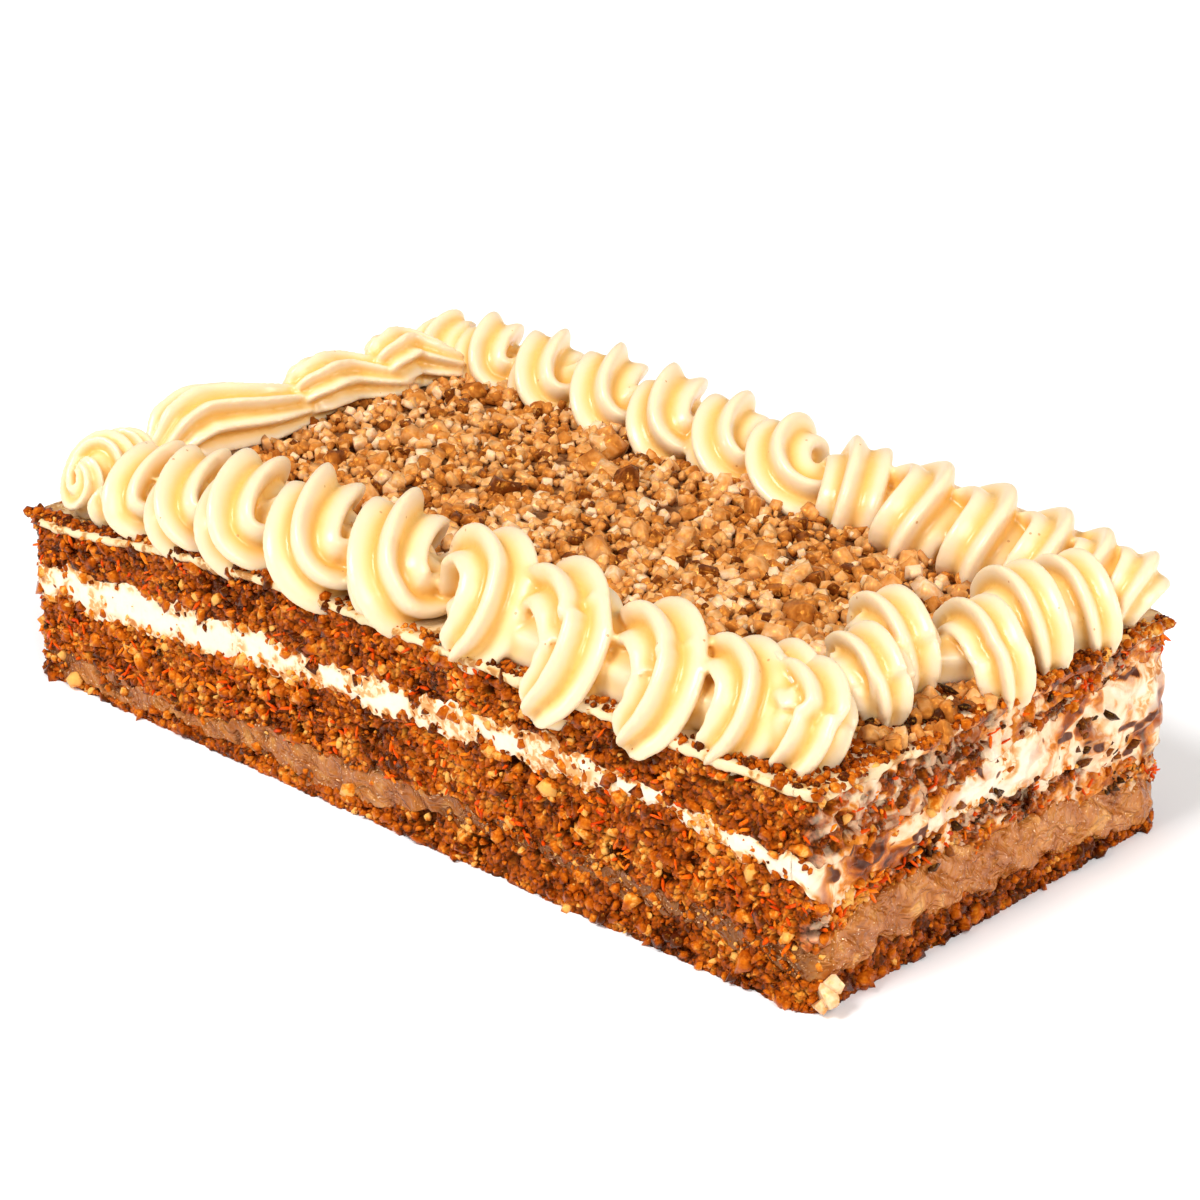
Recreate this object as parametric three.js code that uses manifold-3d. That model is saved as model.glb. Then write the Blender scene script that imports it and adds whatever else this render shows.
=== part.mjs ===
// Carrot cake: a tray slice of three crumbly sponge layers with a caramel filling and a cream filling,
// a thin icing on top, a bed of chopped walnuts and a border of cream piped in loops with a star nozzle.
// Millimetres. +X runs along the long side, +Y to the back, +Z up. The base is at z = 0.

import * as THREE from "three";
import { mergeVertices } from "three/addons/utils/BufferGeometryUtils.js";
import Module from "manifold-3d";

const wasm = await Module();
wasm.setup();

// The four upright corner edges of the cake: plan position and the height of the top there
const frontLeft = { x: -152.8, y: -85.3, height: 61.5 };
const frontRight = { x: 147.0, y: -74.3, height: 62 };
const backRight = { x: 144.7, y: 72.1, height: 61.4 };
const backLeft = { x: -139.0, y: 87.5, height: 62.5 };
const cornerRound = 7;

// The front left corner has sunk in baking
const sunkDepth = 10.5;
const sunkReach = 62;

// Heights of the layer boundaries round the cake, from the base up: bottom sponge to caramel, caramel to
// middle sponge, middle sponge to cream, cream to top sponge. The side counts 0 to 1 along the front,
// 1 to 2 along the right, 2 to 3 along the back and 3 to 4 along the left.
const layerHeights = [
  { side: 0.0, heights: [3.2, 8.6, 26.6, 37.6] },
  { side: 0.11, heights: [3.2, 10.2, 26.6, 39.0] },
  { side: 0.25, heights: [4.8, 10.2, 30.6, 42.7] },
  { side: 0.45, heights: [6.9, 15.4, 34.2, 43.7] },
  { side: 0.69, heights: [12.2, 17.8, 37.8, 48.0] },
  { side: 0.85, heights: [12.1, 18.7, 40.5, 45.7] },
  { side: 0.98, heights: [10.1, 17.4, 34.8, 41.7] },
  { side: 1.04, heights: [8.8, 22.4, 27.5, 40.3] },
  { side: 1.34, heights: [11.3, 27.0, 34.5, 44.9] },
  { side: 1.66, heights: [9.8, 23.0, 33.5, 50.0] },
  { side: 1.96, heights: [3.5, 14.5, 21.5, 54.0] },
  { side: 2.3, heights: [7.0, 15.0, 33.0, 46.0] },
  { side: 2.7, heights: [9.0, 16.0, 35.0, 46.5] },
  { side: 3.0, heights: [7.0, 13.5, 33.0, 45.0] },
  { side: 3.5, heights: [5.0, 11.5, 30.0, 42.0] },
  { side: 4.0, heights: [3.2, 8.6, 26.6, 37.6] },
];

// Gaps and reliefs
const gap = 0.3;
const icingThick = 2.4;
const crumbDepth = 1.5;
const fillingDepth = 0.7;
const sideReach = 1.9;
const ringCount = 64;
const innerCount = 16;

// Chopped walnuts: the four plan corners of their bed, just inside the piping
const nutCorners = { frontLeft: [-122, -48], frontRight: [98, -40.5], backRight: [99, 41], backLeft: [-117, 54] };
const nutCell = 6.2;
const nutLow = 2.4;
const nutHigh = 6.4;
const nutChunks = 22;
const nutChunkSize = 4.6;

// Piped cream: where each loop starts along its row, how far the strand's centre lies inside the edge,
// how far each loop swings across, along and up, the height of its centre over the icing and the radius
// of the strand. A list holds one value for each loop start.
const grooveDepth = 0.5;
const strandSides = 10;
const cutterGrow = 0.4;
const strandStep = 1.5;
const straightStep = 22;
const mostTurn = 2.7;
const frontRow = {
  from: frontLeft,
  to: frontRight,
  facing: -1,
  starts: [40, 64, 87, 118, 148, 165],
  inward: [17, 15, 15, 14, 16, 20],
  across: [8, 9, 9.5, 10, 10, 9],
  along: [0, 0, 0, 0, 1, 1],
  lift: [4, 5, 6, 6, 7, 7],
  base: [8, 9, 10, 10, 10, 8],
  radius: [11, 11.5, 12, 12.5, 12.5, 11],
  turnAt: 9,
  before: 1,
  stop: 4.4,
};
// Loops that stand apart: the place of each along its edge and inside it, its height over the icing, how
// far its leg is drawn out and the radius of its strand. The shape runs along, inwards and up from the
// middle of a loop whose strand has a radius of archSize.
const frontArches = {
  from: frontLeft,
  to: frontRight,
  starts: [171, 200, 232, 258, 277],
  inward: [13, 12, 12.5, 14, 17],
  base: [14.5, 13.5, 12, 11, 10.5],
  leg: [1, 1.3, 1.15, 1, 0.9],
  radius: [12.2, 12.2, 12, 11, 10.4],
  shape: [[-8, 7, -7], [-4, 7, 1], [3, 5, 4], [10, 1, 2], [12.5, -4, -3.5], [11, -7, -9], [8, -9, -13]],
};
const rightArches = {
  from: frontRight,
  to: backRight,
  starts: [24, 45, 63, 81, 101, 121],
  inward: [30, 22, 29, 14, 17, 15],
  base: [9.5, 10, 11.5, 9, 10.5, 9],
  leg: [1, 0.75, 0.8, 1.1, 1, 1],
  radius: [9.8, 9.6, 10.2, 9.6, 10.2, 9.6],
  shape: [[6, 13, -9], [5, 12, -1], [3, 6, 4], [0, -2, 4.5], [-3, -9, 0], [-4, -12, -6], [-4, -12.5, -10]],
};
const archSize = 12;
const archSwell = [
  { at: 0, share: 0.7 },
  { at: 0.15, share: 0.88 },
  { at: 0.4, share: 1 },
  { at: 0.8, share: 0.94 },
  { at: 1, share: 0.76 },
];
const archStep = 1.4;
const archSides = 8;
const linkSides = 6;
const linkShare = 0.7;
const linkHeight = 5;
const backRow = {
  from: backLeft,
  to: backRight,
  facing: 1,
  starts: [6, 26, 52, 80, 108, 134, 158, 184, 208, 232, 252, 268, 280],
  inward: [18, 14, 13, 12.5, 13, 14, 13, 12, 14, 14, 13, 12.5, 13],
  across: [7, 7, 7.5, 8, 8, 7.5, 7.5, 8, 8.5, 8, 7, 6, 5],
  along: [0, 0, 0, 0, 1, 2, 4, 5, 5, 5, 5, 4, 3],
  lift: 4.6,
  base: [4, 4, 5, 6.5, 6.5, 6.5, 6, 6.5, 8, 8.5, 8.5, 8, 8],
  radius: [10, 10.5, 11, 11.5, 11.5, 11, 11, 11, 11.5, 11, 10, 9.5, 9],
  turnAt: 6.6,
  before: 0.4,
};
const cornerCurls = {
  from: frontLeft,
  to: backLeft,
  facing: 1,
  starts: [12, 21, 29],
  inward: [14, 13, 13],
  across: [4, 5, 4],
  along: 3,
  lift: 5,
  base: [11, 11, 9],
  radius: [6.5, 7, 6.5],
  turnAt: -2,
  before: 0.2,
};

// Long pulled shells along the left side and a swirl at its back end: start and end along the edge from
// the front, how far inside the edge they start and end, and the greatest radius
const leftShells = [
  { from: 40, to: 98, inwardFrom: 14, inwardTo: 18, radius: 12.5 },
  { from: 88, to: 130, inwardFrom: 14, inwardTo: 19, radius: 10.5 },
  { from: 120, to: 150, inwardFrom: 13, inwardTo: 21, radius: 10.5 },
];
const shellSides = 10;
const shellProfile = [
  { at: 0, wide: 0.66, up: 0.75 },
  { at: 0.1, wide: 0.92, up: 0.95 },
  { at: 0.24, wide: 1, up: 1 },
  { at: 0.42, wide: 0.94, up: 0.86 },
  { at: 0.62, wide: 0.8, up: 0.68 },
  { at: 0.82, wide: 0.6, up: 0.5 },
  { at: 1, wide: 0.34, up: 0.32 },
];

// Seeded random numbers from 0 to 1
function seeded(seed) {
  let state = seed;
  return () => {
    state = (state + 0x6d2b79f5) | 0;
    let t = Math.imul(state ^ (state >>> 15), 1 | state);
    t = (t + Math.imul(t ^ (t >>> 7), 61 | t)) ^ t;
    return ((t ^ (t >>> 14)) >>> 0) / 4294967296;
  };
}

// Height of the icing's surface at a plan point, from the corner heights and the sunk corner
function topHeight(x, y) {
  let u = 0.5;
  let v = 0.5;
  for (let i = 0; i < 5; i++) {
    const left = THREE.MathUtils.lerp(frontLeft.x, backLeft.x, v);
    const right = THREE.MathUtils.lerp(frontRight.x, backRight.x, v);
    u = (x - left) / (right - left);
    const front = THREE.MathUtils.lerp(frontLeft.y, frontRight.y, u);
    const back = THREE.MathUtils.lerp(backLeft.y, backRight.y, u);
    v = (y - front) / (back - front);
  }
  const front = THREE.MathUtils.lerp(frontLeft.height, frontRight.height, u);
  const back = THREE.MathUtils.lerp(backLeft.height, backRight.height, u);
  const away = Math.hypot(x - frontLeft.x, y - frontLeft.y) / sunkReach;
  return THREE.MathUtils.lerp(front, back, v) - sunkDepth * Math.exp(-away * away);
}

// Plan outline: points along the four sides with a round at each corner, each with its outward
// direction and its place round the cake
function outline() {
  const corners = [frontLeft, frontRight, backRight, backLeft];
  const perCorner = 4;
  const perSide = [16, 8, 16, 8];
  const points = [];
  corners.forEach((corner, i) => {
    const before = corners[(i + 3) % 4];
    const after = corners[(i + 1) % 4];
    const here = new THREE.Vector2(corner.x, corner.y);
    const back = new THREE.Vector2(before.x, before.y).sub(here).normalize();
    const ahead = new THREE.Vector2(after.x, after.y).sub(here);
    const length = ahead.length();
    ahead.normalize();
    const centre = here.clone().addScaledVector(back, cornerRound).addScaledVector(ahead, cornerRound);
    for (let k = 0; k < perCorner; k++) {
      const angle = (Math.PI / 2) * (k / perCorner);
      const out = ahead.clone().multiplyScalar(-Math.cos(angle)).addScaledVector(back, -Math.sin(angle));
      const point = centre.clone().addScaledVector(out, cornerRound);
      const side = (i + ((k - perCorner / 2) * 0.011) + 4) % 4;
      points.push({ point, out: out.normalize(), side });
    }
    const out = new THREE.Vector2(ahead.y, -ahead.x);
    for (let k = 0; k < perSide[i]; k++) {
      const run = cornerRound + (length - 2 * cornerRound) * ((k + 0.5) / perSide[i]);
      points.push({ point: here.clone().addScaledVector(ahead, run), out, side: i + run / length });
    }
  });
  return points;
}

// Heights of the four boundaries at a place round the cake
function boundaryHeight(side, boundary) {
  const next = layerHeights.findIndex((entry) => entry.side >= side);
  const b = layerHeights[Math.max(next, 1)];
  const a = layerHeights[Math.max(next, 1) - 1];
  const share = (side - a.side) / (b.side - a.side);
  return THREE.MathUtils.lerp(a.heights[boundary], b.heights[boundary], share);
}

// Level surfaces from the base (0) up to the icing's surface (6). Each has an outer ring of points, an
// inner ring and a centre, so that the layers that meet there share one form.
const rim = outline();
const random = seeded(7);
const levels = [];
for (let level = 0; level <= 6; level++) {
  const heightOf = (point, side) => {
    if (level === 0) return 0;
    const top = topHeight(point.x, point.y);
    if (level === 6) return top;
    if (level === 5) return top - icingThick;
    return boundaryHeight(side, level - 1);
  };
  const outer = rim.map(({ point, out, side }) => {
    const wave = level === 0 || level > 4 ? 0 : (random() - 0.5) * 1.4;
    const reach = (random() - 0.5) * 1.2;
    const moved = point.clone().addScaledVector(out, reach);
    return new THREE.Vector3(moved.x, moved.y, heightOf(point, side) + wave);
  });
  const inner = [];
  for (let k = 0; k < innerCount; k++) {
    const { point, side } = rim[(k * ringCount) / innerCount];
    const moved = point.clone().multiplyScalar(0.72);
    inner.push(new THREE.Vector3(moved.x, moved.y, heightOf(moved, side)));
  }
  const centre = new THREE.Vector3(0, 0, 0);
  inner.forEach((point) => (centre.z += point.z / innerCount));
  if (level > 4) centre.z = heightOf(centre, 0);
  levels.push({ outer, inner, centre });
}

// Triangles from an outer ring to a ring with a quarter of its points, and on to a centre point
function capTriangles(outerFirst, innerFirst, centreIndex) {
  const triangles = [];
  const each = ringCount / innerCount;
  for (let k = 0; k < innerCount; k++) {
    const a = innerFirst + k;
    const b = innerFirst + ((k + 1) % innerCount);
    const at = (j) => outerFirst + ((k * each + j) % ringCount);
    for (let j = 0; j < each; j++) triangles.push([j < each / 2 ? a : b, at(j), at(j + 1)]);
    triangles.push([a, at(each / 2), b]);
    triangles.push([centreIndex, a, b]);
  }
  return triangles;
}

// A closed solid from points and triangles, turned right side out
function solidFrom(points, triangles) {
  const data = new Float32Array(points.length * 3);
  points.forEach((point, i) => data.set([point.x, point.y, point.z], 3 * i));
  const make = (list) =>
    new wasm.Manifold(new wasm.Mesh({ numProp: 3, vertProperties: data, triVerts: new Uint32Array(list.flat()) }));
  const solid = make(triangles);
  return solid.volume() > 0 ? solid : make(triangles.map(([a, b, c]) => [a, c, b]));
}

// The largest piece of a solid: loose scraps from a cut are dropped
function largest(solid) {
  return solid.decompose().reduce((a, b) => (a.volume() > b.volume() ? a : b));
}

// One layer between two levels, with rows of crags round its side. The bulge says how far its middle
// reaches out at each place round the cake.
function layer(low, high, rows, depth, bulge, seed) {
  const draw = seeded(seed);
  const points = [];
  const rings = [];
  const lift = low === 0 ? 0 : gap / 2;
  const drop = high === 6 ? 0 : gap / 2;
  const bottom = levels[low];
  const top = levels[high];
  rings.push(bottom.outer.map((p) => p.clone().setZ(p.z + lift)));
  for (let row = 1; row <= rows; row++) {
    const share = row / (rows + 1);
    rings.push(
      rim.map(({ out, side }, i) => {
        const p = bottom.outer[i].clone().lerp(top.outer[i], share);
        const reach = (draw() - 0.5) * 2 * depth + bulge(side) * Math.sin(Math.PI * share);
        p.z += (draw() - 0.5) * 0.8;
        return new THREE.Vector3(p.x + out.x * reach, p.y + out.y * reach, p.z);
      }),
    );
  }
  rings.push(top.outer.map((p) => p.clone().setZ(p.z - drop)));
  rings.forEach((ring) => points.push(...ring));
  const innerLow = points.length;
  points.push(...bottom.inner.map((p) => p.clone().setZ(p.z + lift)), bottom.centre.clone().setZ(bottom.centre.z + lift));
  const innerHigh = points.length;
  points.push(...top.inner.map((p) => p.clone().setZ(p.z - drop)), top.centre.clone().setZ(top.centre.z - drop));
  const triangles = [];
  for (let row = 0; row < rings.length - 1; row++) {
    for (let i = 0; i < ringCount; i++) {
      const j = (i + 1) % ringCount;
      const a = row * ringCount;
      const b = a + ringCount;
      triangles.push([a + i, a + j, b + j], [a + i, b + j, b + i]);
    }
  }
  const topFirst = (rings.length - 1) * ringCount;
  capTriangles(0, innerLow, innerLow + innerCount).forEach(([a, b, c]) => triangles.push([a, c, b]));
  triangles.push(...capTriangles(topFirst, innerHigh, innerHigh + innerCount));
  return solidFrom(points, triangles);
}

// The room that the layers take up, raised and widened by a gap: what lies on the icing is cut by it
function clearance() {
  const top = levels[6];
  const raise = (p) => p.clone().setZ(p.z + gap);
  const wide = rim.map(({ out }, i) => {
    const p = top.outer[i];
    return new THREE.Vector3(p.x + out.x * sideReach, p.y + out.y * sideReach, p.z + gap);
  });
  const foot = wide.map((p) => p.clone().setZ(-20));
  const points = [...foot, ...wide, ...top.outer.map(raise), ...top.inner.map(raise), raise(top.centre)];
  const footCentre = points.push(new THREE.Vector3(0, 0, -20)) - 1;
  const triangles = [];
  for (let ring = 0; ring < 2; ring++) {
    for (let i = 0; i < ringCount; i++) {
      const j = (i + 1) % ringCount;
      const a = ring * ringCount;
      const b = a + ringCount;
      triangles.push([a + i, a + j, b + j], [a + i, b + j, b + i]);
    }
  }
  for (let i = 0; i < ringCount; i++) triangles.push([footCentre, (i + 1) % ringCount, i]);
  triangles.push(...capTriangles(2 * ringCount, 3 * ringCount, 3 * ringCount + innerCount));
  return solidFrom(points, triangles);
}

// A value that may be one number or a list with one number for each loop start
function valueAt(value, u) {
  if (typeof value === "number") return value;
  const held = THREE.MathUtils.clamp(u, 0, value.length - 1);
  const i = Math.min(Math.floor(held), value.length - 2);
  return THREE.MathUtils.lerp(value[i], value[i + 1], held - i);
}

// Centre line of a piped row. The strand swings out and back once in each loop and is highest on its way
// back from the inside; the loops turn the other way round after one place in the row.
function rowPath(row) {
  const last = row.stop ?? row.starts.length - 1;
  const along = new THREE.Vector2(row.to.x - row.from.x, row.to.y - row.from.y).normalize();
  const out = new THREE.Vector2(along.y, -along.x);
  const fine = 40;
  const steps = Math.round((last + row.before) * fine);
  const path = [];
  const radii = [];
  for (let i = 0; i <= steps; i++) {
    const u = -row.before + i / fine;
    const phase = 2 * Math.PI * u;
    const turn = THREE.MathUtils.clamp(2.5 * (u - row.turnAt), -1, 1);
    const place = valueAt(row.starts, u) + Math.min(u, 0) * 12;
    const run = place - valueAt(row.along, u) * turn * Math.sin(phase);
    const sway = row.facing * valueAt(row.inward, u) + valueAt(row.across, u) * Math.cos(phase);
    const x = row.from.x + along.x * run + out.x * sway;
    const y = row.from.y + along.y * run + out.y * sway;
    const rise = -valueAt(row.lift, u) * (0.35 * Math.cos(phase) + 0.94 * Math.sin(phase));
    path.push(new THREE.Vector3(x, y, topHeight(x, y) + valueAt(row.base, u) + rise));
    const ends = Math.min(1, 0.7 + 0.9 * (u + row.before), 0.7 + 0.9 * (last - u));
    radii.push(valueAt(row.radius, u) * ends);
  }
  return { path, radii, fine };
}

// Directions across a path that turn with it and never twist round it
function pathFrames(path) {
  const tangents = path.map((p, i) => {
    const a = path[Math.max(i - 1, 0)];
    const b = path[Math.min(i + 1, path.length - 1)];
    return b.clone().sub(a).normalize();
  });
  const normals = [];
  let normal = new THREE.Vector3(0, 0, 1);
  tangents.forEach((tangent) => {
    normal = normal.clone().addScaledVector(tangent, -normal.dot(tangent)).normalize();
    normals.push(normal);
  });
  return { tangents, normals };
}

// A strand with a star section through the given places on its path, closed at both ends. In a tight bend
// the points on the inner side are drawn in, so that no ring crosses the one before or after it.
function strand(path, radii, frame, places, grow, sides, roundStart, roundEnd) {
  const points = [];
  places.forEach((i, ring) => {
    const tangent = frame.tangents[i];
    const normal = frame.normals[i];
    const side = new THREE.Vector3().crossVectors(tangent, normal);
    for (let k = 0; k < sides; k++) {
      const angle = (2 * Math.PI * k) / sides;
      const reach = (k % 2 ? 1 - grooveDepth : 1) * radii[i] + grow;
      const offset = normal.clone().multiplyScalar(reach * Math.cos(angle));
      offset.addScaledVector(side, reach * Math.sin(angle));
      let share = 1;
      [-1, 1].forEach((sign) => {
        const next = frame.stations ? frame.stations.get(i + ":" + sign) : places[ring + sign];
        if (next === undefined) return;
        const room = sign * path[next].clone().sub(path[i]).dot(frame.tangents[next]) * 0.9;
        const lean = sign * offset.dot(frame.tangents[next]);
        if (lean > room) share = Math.min(share, Math.max(room / lean, 0.05));
      });
      points.push(path[i].clone().addScaledVector(offset, share));
    }
  });
  const tip = (i, sign) => path[i].clone().addScaledVector(frame.tangents[i], sign * radii[i] * 0.45);
  const start = places[0];
  const end = places[places.length - 1];
  const first = points.push(tip(start, roundStart ? -1 : 0)) - 1;
  const last = points.push(tip(end, roundEnd ? 1 : 0)) - 1;
  const triangles = [];
  for (let ring = 0; ring < places.length - 1; ring++) {
    for (let k = 0; k < sides; k++) {
      const j = (k + 1) % sides;
      const a = ring * sides;
      const b = a + sides;
      triangles.push([a + k, a + j, b + j], [a + k, b + j, b + k]);
    }
  }
  const lastRing = (places.length - 1) * sides;
  for (let k = 0; k < sides; k++) {
    const j = (k + 1) % sides;
    triangles.push([first, j, k], [last, lastRing + k, lastRing + j]);
  }
  return solidFrom(points, triangles);
}

// Centre line of one loop that stands apart: a smooth curve through the places of its shape, from behind
// over the top to a tip at the outside
function archPath(row, k) {
  const along = new THREE.Vector2(row.to.x - row.from.x, row.to.y - row.from.y).normalize();
  const inner = new THREE.Vector2(-along.y, along.x);
  const middle = new THREE.Vector2(row.from.x, row.from.y);
  middle.addScaledVector(along, row.starts[k]).addScaledVector(inner, row.inward[k]);
  const height = topHeight(middle.x, middle.y) + row.base[k];
  const knots = row.shape.map(([x, y, z]) => new THREE.Vector3(x, y, z));
  const curve = new THREE.CatmullRomCurve3(knots, false, "catmullrom", 0.5);
  const path = [];
  const radii = [];
  for (let i = 0; i <= 80; i++) {
    const share = i / 80;
    const step = curve.getPoint(share).multiplyScalar(row.radius[k] / archSize);
    if (step.z < 0) step.multiplyScalar(row.leg[k]);
    const place = middle.clone().addScaledVector(along, step.x).addScaledVector(inner, step.y);
    path.push(new THREE.Vector3(place.x, place.y, height + step.z));
    const after = Math.max(archSwell.findIndex((swell) => swell.at >= share), 1);
    const a = archSwell[after - 1];
    const b = archSwell[after];
    radii.push(row.radius[k] * THREE.MathUtils.mapLinear(share, a.at, b.at, a.share, b.share));
  }
  return { path, radii };
}

// Strand through the feet of the loops of a row, which joins them
function linkPath(row) {
  const along = new THREE.Vector2(row.to.x - row.from.x, row.to.y - row.from.y).normalize();
  const inner = new THREE.Vector2(-along.y, along.x);
  const path = [];
  const radii = [];
  for (let i = 0; i <= 80; i++) {
    const u = ((row.starts.length - 1) * i) / 80;
    const place = new THREE.Vector2(row.from.x, row.from.y);
    place.addScaledVector(along, valueAt(row.starts, u)).addScaledVector(inner, valueAt(row.inward, u));
    path.push(new THREE.Vector3(place.x, place.y, topHeight(place.x, place.y) + linkHeight));
    radii.push(linkShare * valueAt(row.radius, u));
  }
  return { path, radii };
}

// All loops of a row that stand apart, with the strand that joins them
function archedRow(row, grow) {
  let joined = piped(linkPath(row), grow, linkSides, strandStep);
  row.starts.forEach((start, k) => {
    joined = joined.add(piped(archPath(row, k), grow, archSides, archStep));
  });
  return joined;
}

// A whole piped row of loops that run on from one to the next
function pipedRow(row, grow) {
  return piped(rowPath(row), grow, strandSides, strandStep);
}

// A strand along any path: pieces that each turn less than half way round, joined end to end. The rings
// stand closer where the strand bends more.
function piped({ path, radii }, grow, sides, stepSize) {
  const frame = pathFrames(path);
  const measure = [0];
  const turned = [0];
  for (let i = 1; i < path.length; i++) {
    const bend = frame.tangents[i].angleTo(frame.tangents[i - 1]);
    turned.push(turned[i - 1] + bend);
    measure.push(measure[i - 1] + bend + path[i].distanceTo(path[i - 1]) / straightStep);
  }
  const count = Math.round(measure[path.length - 1] / stepSize);
  const places = [];
  for (let n = 0; n <= count; n++) {
    const wanted = (measure[path.length - 1] * n) / count;
    const place = measure.findIndex((value) => value >= wanted - 1e-9);
    if (!places.includes(place)) places.push(place);
  }
  frame.stations = new Map();
  places.forEach((place, n) => {
    if (n > 0) frame.stations.set(place + ":-1", places[n - 1]);
    if (n < places.length - 1) frame.stations.set(place + ":1", places[n + 1]);
  });
  let joined = null;
  let start = 0;
  while (start < places.length - 1) {
    let end = start + 1;
    while (end < places.length - 1 && turned[places[end + 1]] - turned[places[start]] < mostTurn) end++;
    const stations = places.slice(start, end + 1);
    const piece = strand(path, radii, frame, stations, grow, sides, start === 0, end === places.length - 1);
    joined = joined ? joined.add(piece) : piece;
    start = end;
  }
  return joined;
}

// A pulled shell: fat and ribbed where it starts, drawn out to a thin tail
function pulledShell(shell, grow) {
  const along = new THREE.Vector2(backLeft.x - frontLeft.x, backLeft.y - frontLeft.y).normalize();
  const inward = new THREE.Vector2(along.y, -along.x);
  const path = shellProfile.map(({ at, up }) => {
    const run = THREE.MathUtils.lerp(shell.from, shell.to, at);
    const inside = THREE.MathUtils.lerp(shell.inwardFrom, shell.inwardTo, at * at);
    const x = frontLeft.x + along.x * run + inward.x * inside;
    const y = frontLeft.y + along.y * run + inward.y * inside;
    return new THREE.Vector3(x, y, topHeight(x, y) + shell.radius * up);
  });
  const radii = shellProfile.map(({ wide }) => wide * shell.radius);
  const places = path.map((_, i) => i);
  return strand(path, radii, pathFrames(path), places, grow, shellSides, true, true);
}

// Bed of chopped walnuts: a grid of uneven heights with angular chunks fused on, cut to lie on the icing
function walnutBed() {
  const draw = seeded(31);
  const corners = Object.values(nutCorners).map(([x, y]) => new THREE.Vector2(x, y));
  const columns = Math.round(corners[0].distanceTo(corners[1]) / nutCell);
  const lines = Math.round(corners[1].distanceTo(corners[2]) / nutCell);
  const placeAt = (u, v) => corners[0].clone().lerp(corners[1], u).lerp(corners[3].clone().lerp(corners[2], u), v);
  const points = [];
  const triangles = [];
  for (let j = 0; j <= lines; j++) {
    for (let i = 0; i <= columns; i++) {
      const edge = i === 0 || j === 0 || i === columns || j === lines ? 0 : 0.34 * nutCell;
      const { x, y } = placeAt(i / columns, j / lines);
      const moved = { x: x + (draw() - 0.5) * 2 * edge, y: y + (draw() - 0.5) * 2 * edge };
      const height = THREE.MathUtils.lerp(nutLow, nutHigh, draw());
      points.push(new THREE.Vector3(moved.x, moved.y, topHeight(moved.x, moved.y) + height));
    }
  }
  const count = points.length;
  const at = (i, j) => j * (columns + 1) + i;
  for (let j = 0; j < lines; j++) {
    for (let i = 0; i < columns; i++) {
      triangles.push([at(i, j), at(i + 1, j), at(i + 1, j + 1)], [at(i, j), at(i + 1, j + 1), at(i, j + 1)]);
    }
  }
  const border = [];
  for (let i = 0; i < columns; i++) border.push(at(i, 0));
  for (let j = 0; j < lines; j++) border.push(at(columns, j));
  for (let i = columns; i > 0; i--) border.push(at(i, lines));
  for (let j = lines; j > 0; j--) border.push(at(0, j));
  border.forEach((index) => points.push(points[index].clone().setZ(30)));
  const foot = points.push(new THREE.Vector3(0, 0, 30)) - 1;
  border.forEach((index, k) => {
    const next = (k + 1) % border.length;
    triangles.push([count + k, count + next, border[next]], [count + k, border[next], index]);
    triangles.push([foot, count + next, count + k]);
  });
  let bed = solidFrom(points, triangles);
  for (let n = 0; n < nutChunks; n++) {
    const { x, y } = placeAt(0.06 + 0.88 * draw(), 0.08 + 0.84 * draw());
    const box = new THREE.BoxGeometry(2, 1.5, 1.1).toNonIndexed();
    box.deleteAttribute("normal");
    box.deleteAttribute("uv");
    const chunk = mergeVertices(box);
    const size = nutChunkSize * (0.7 + 0.6 * draw());
    const turn = new THREE.Euler(draw() - 0.5, draw() - 0.5, draw() * 6.28);
    const place = new THREE.Matrix4().makeRotationFromEuler(turn).scale(new THREE.Vector3(size, size, size));
    place.setPosition(x, y, topHeight(x, y) + nutHigh - 1.2);
    const position = chunk.getAttribute("position");
    const tips = [];
    for (let i = 0; i < position.count; i++) {
      const corner = new THREE.Vector3().fromBufferAttribute(position, i).multiplyScalar(0.8 + 0.4 * draw());
      tips.push(corner.applyMatrix4(place));
    }
    const faces = [];
    for (let i = 0; i < chunk.index.count; i += 3) faces.push([0, 1, 2].map((k) => chunk.index.getX(i + k)));
    bed = bed.add(solidFrom(tips, faces));
  }
  return bed;
}

// A named mesh from a solid, in its own colour
function meshFrom(name, solid, color, roughness) {
  const data = solid.getMesh();
  const geometry = new THREE.BufferGeometry();
  const position = new Float32Array(data.numVert * 3);
  for (let i = 0; i < data.numVert; i++) {
    position.set(data.vertProperties.subarray(i * data.numProp, i * data.numProp + 3), i * 3);
  }
  geometry.setAttribute("position", new THREE.BufferAttribute(position, 3));
  geometry.setIndex(new THREE.BufferAttribute(new Uint32Array(data.triVerts), 1));
  geometry.computeVertexNormals();
  const mesh = new THREE.Mesh(geometry, new THREE.MeshStandardMaterial({ color, roughness, metalness: 0 }));
  mesh.name = name;
  return mesh;
}

// Layers. The cream is smeared outwards towards the back of the right side.
const flush = () => 0;
const smeared = (side) => (side > 1.6 && side < 2.05 ? 2.2 : 0);
const cake = [
  ["bottom_sponge", layer(0, 1, 1, crumbDepth * 0.8, flush, 11), 0xa0622a, 0.85],
  ["caramel_filling", layer(1, 2, 1, fillingDepth, flush, 12), 0xa56a3c, 0.35],
  ["middle_sponge", layer(2, 3, 2, crumbDepth, flush, 13), 0xa0622a, 0.85],
  ["cream_filling", layer(3, 4, 1, fillingDepth, smeared, 14), 0xfff1dc, 0.5],
  ["top_sponge", layer(4, 5, 2, crumbDepth, flush, 15), 0x9a5a26, 0.85],
  ["top_icing", layer(5, 6, 0, 0, flush, 16), 0xf6e2bd, 0.5],
];

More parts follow.
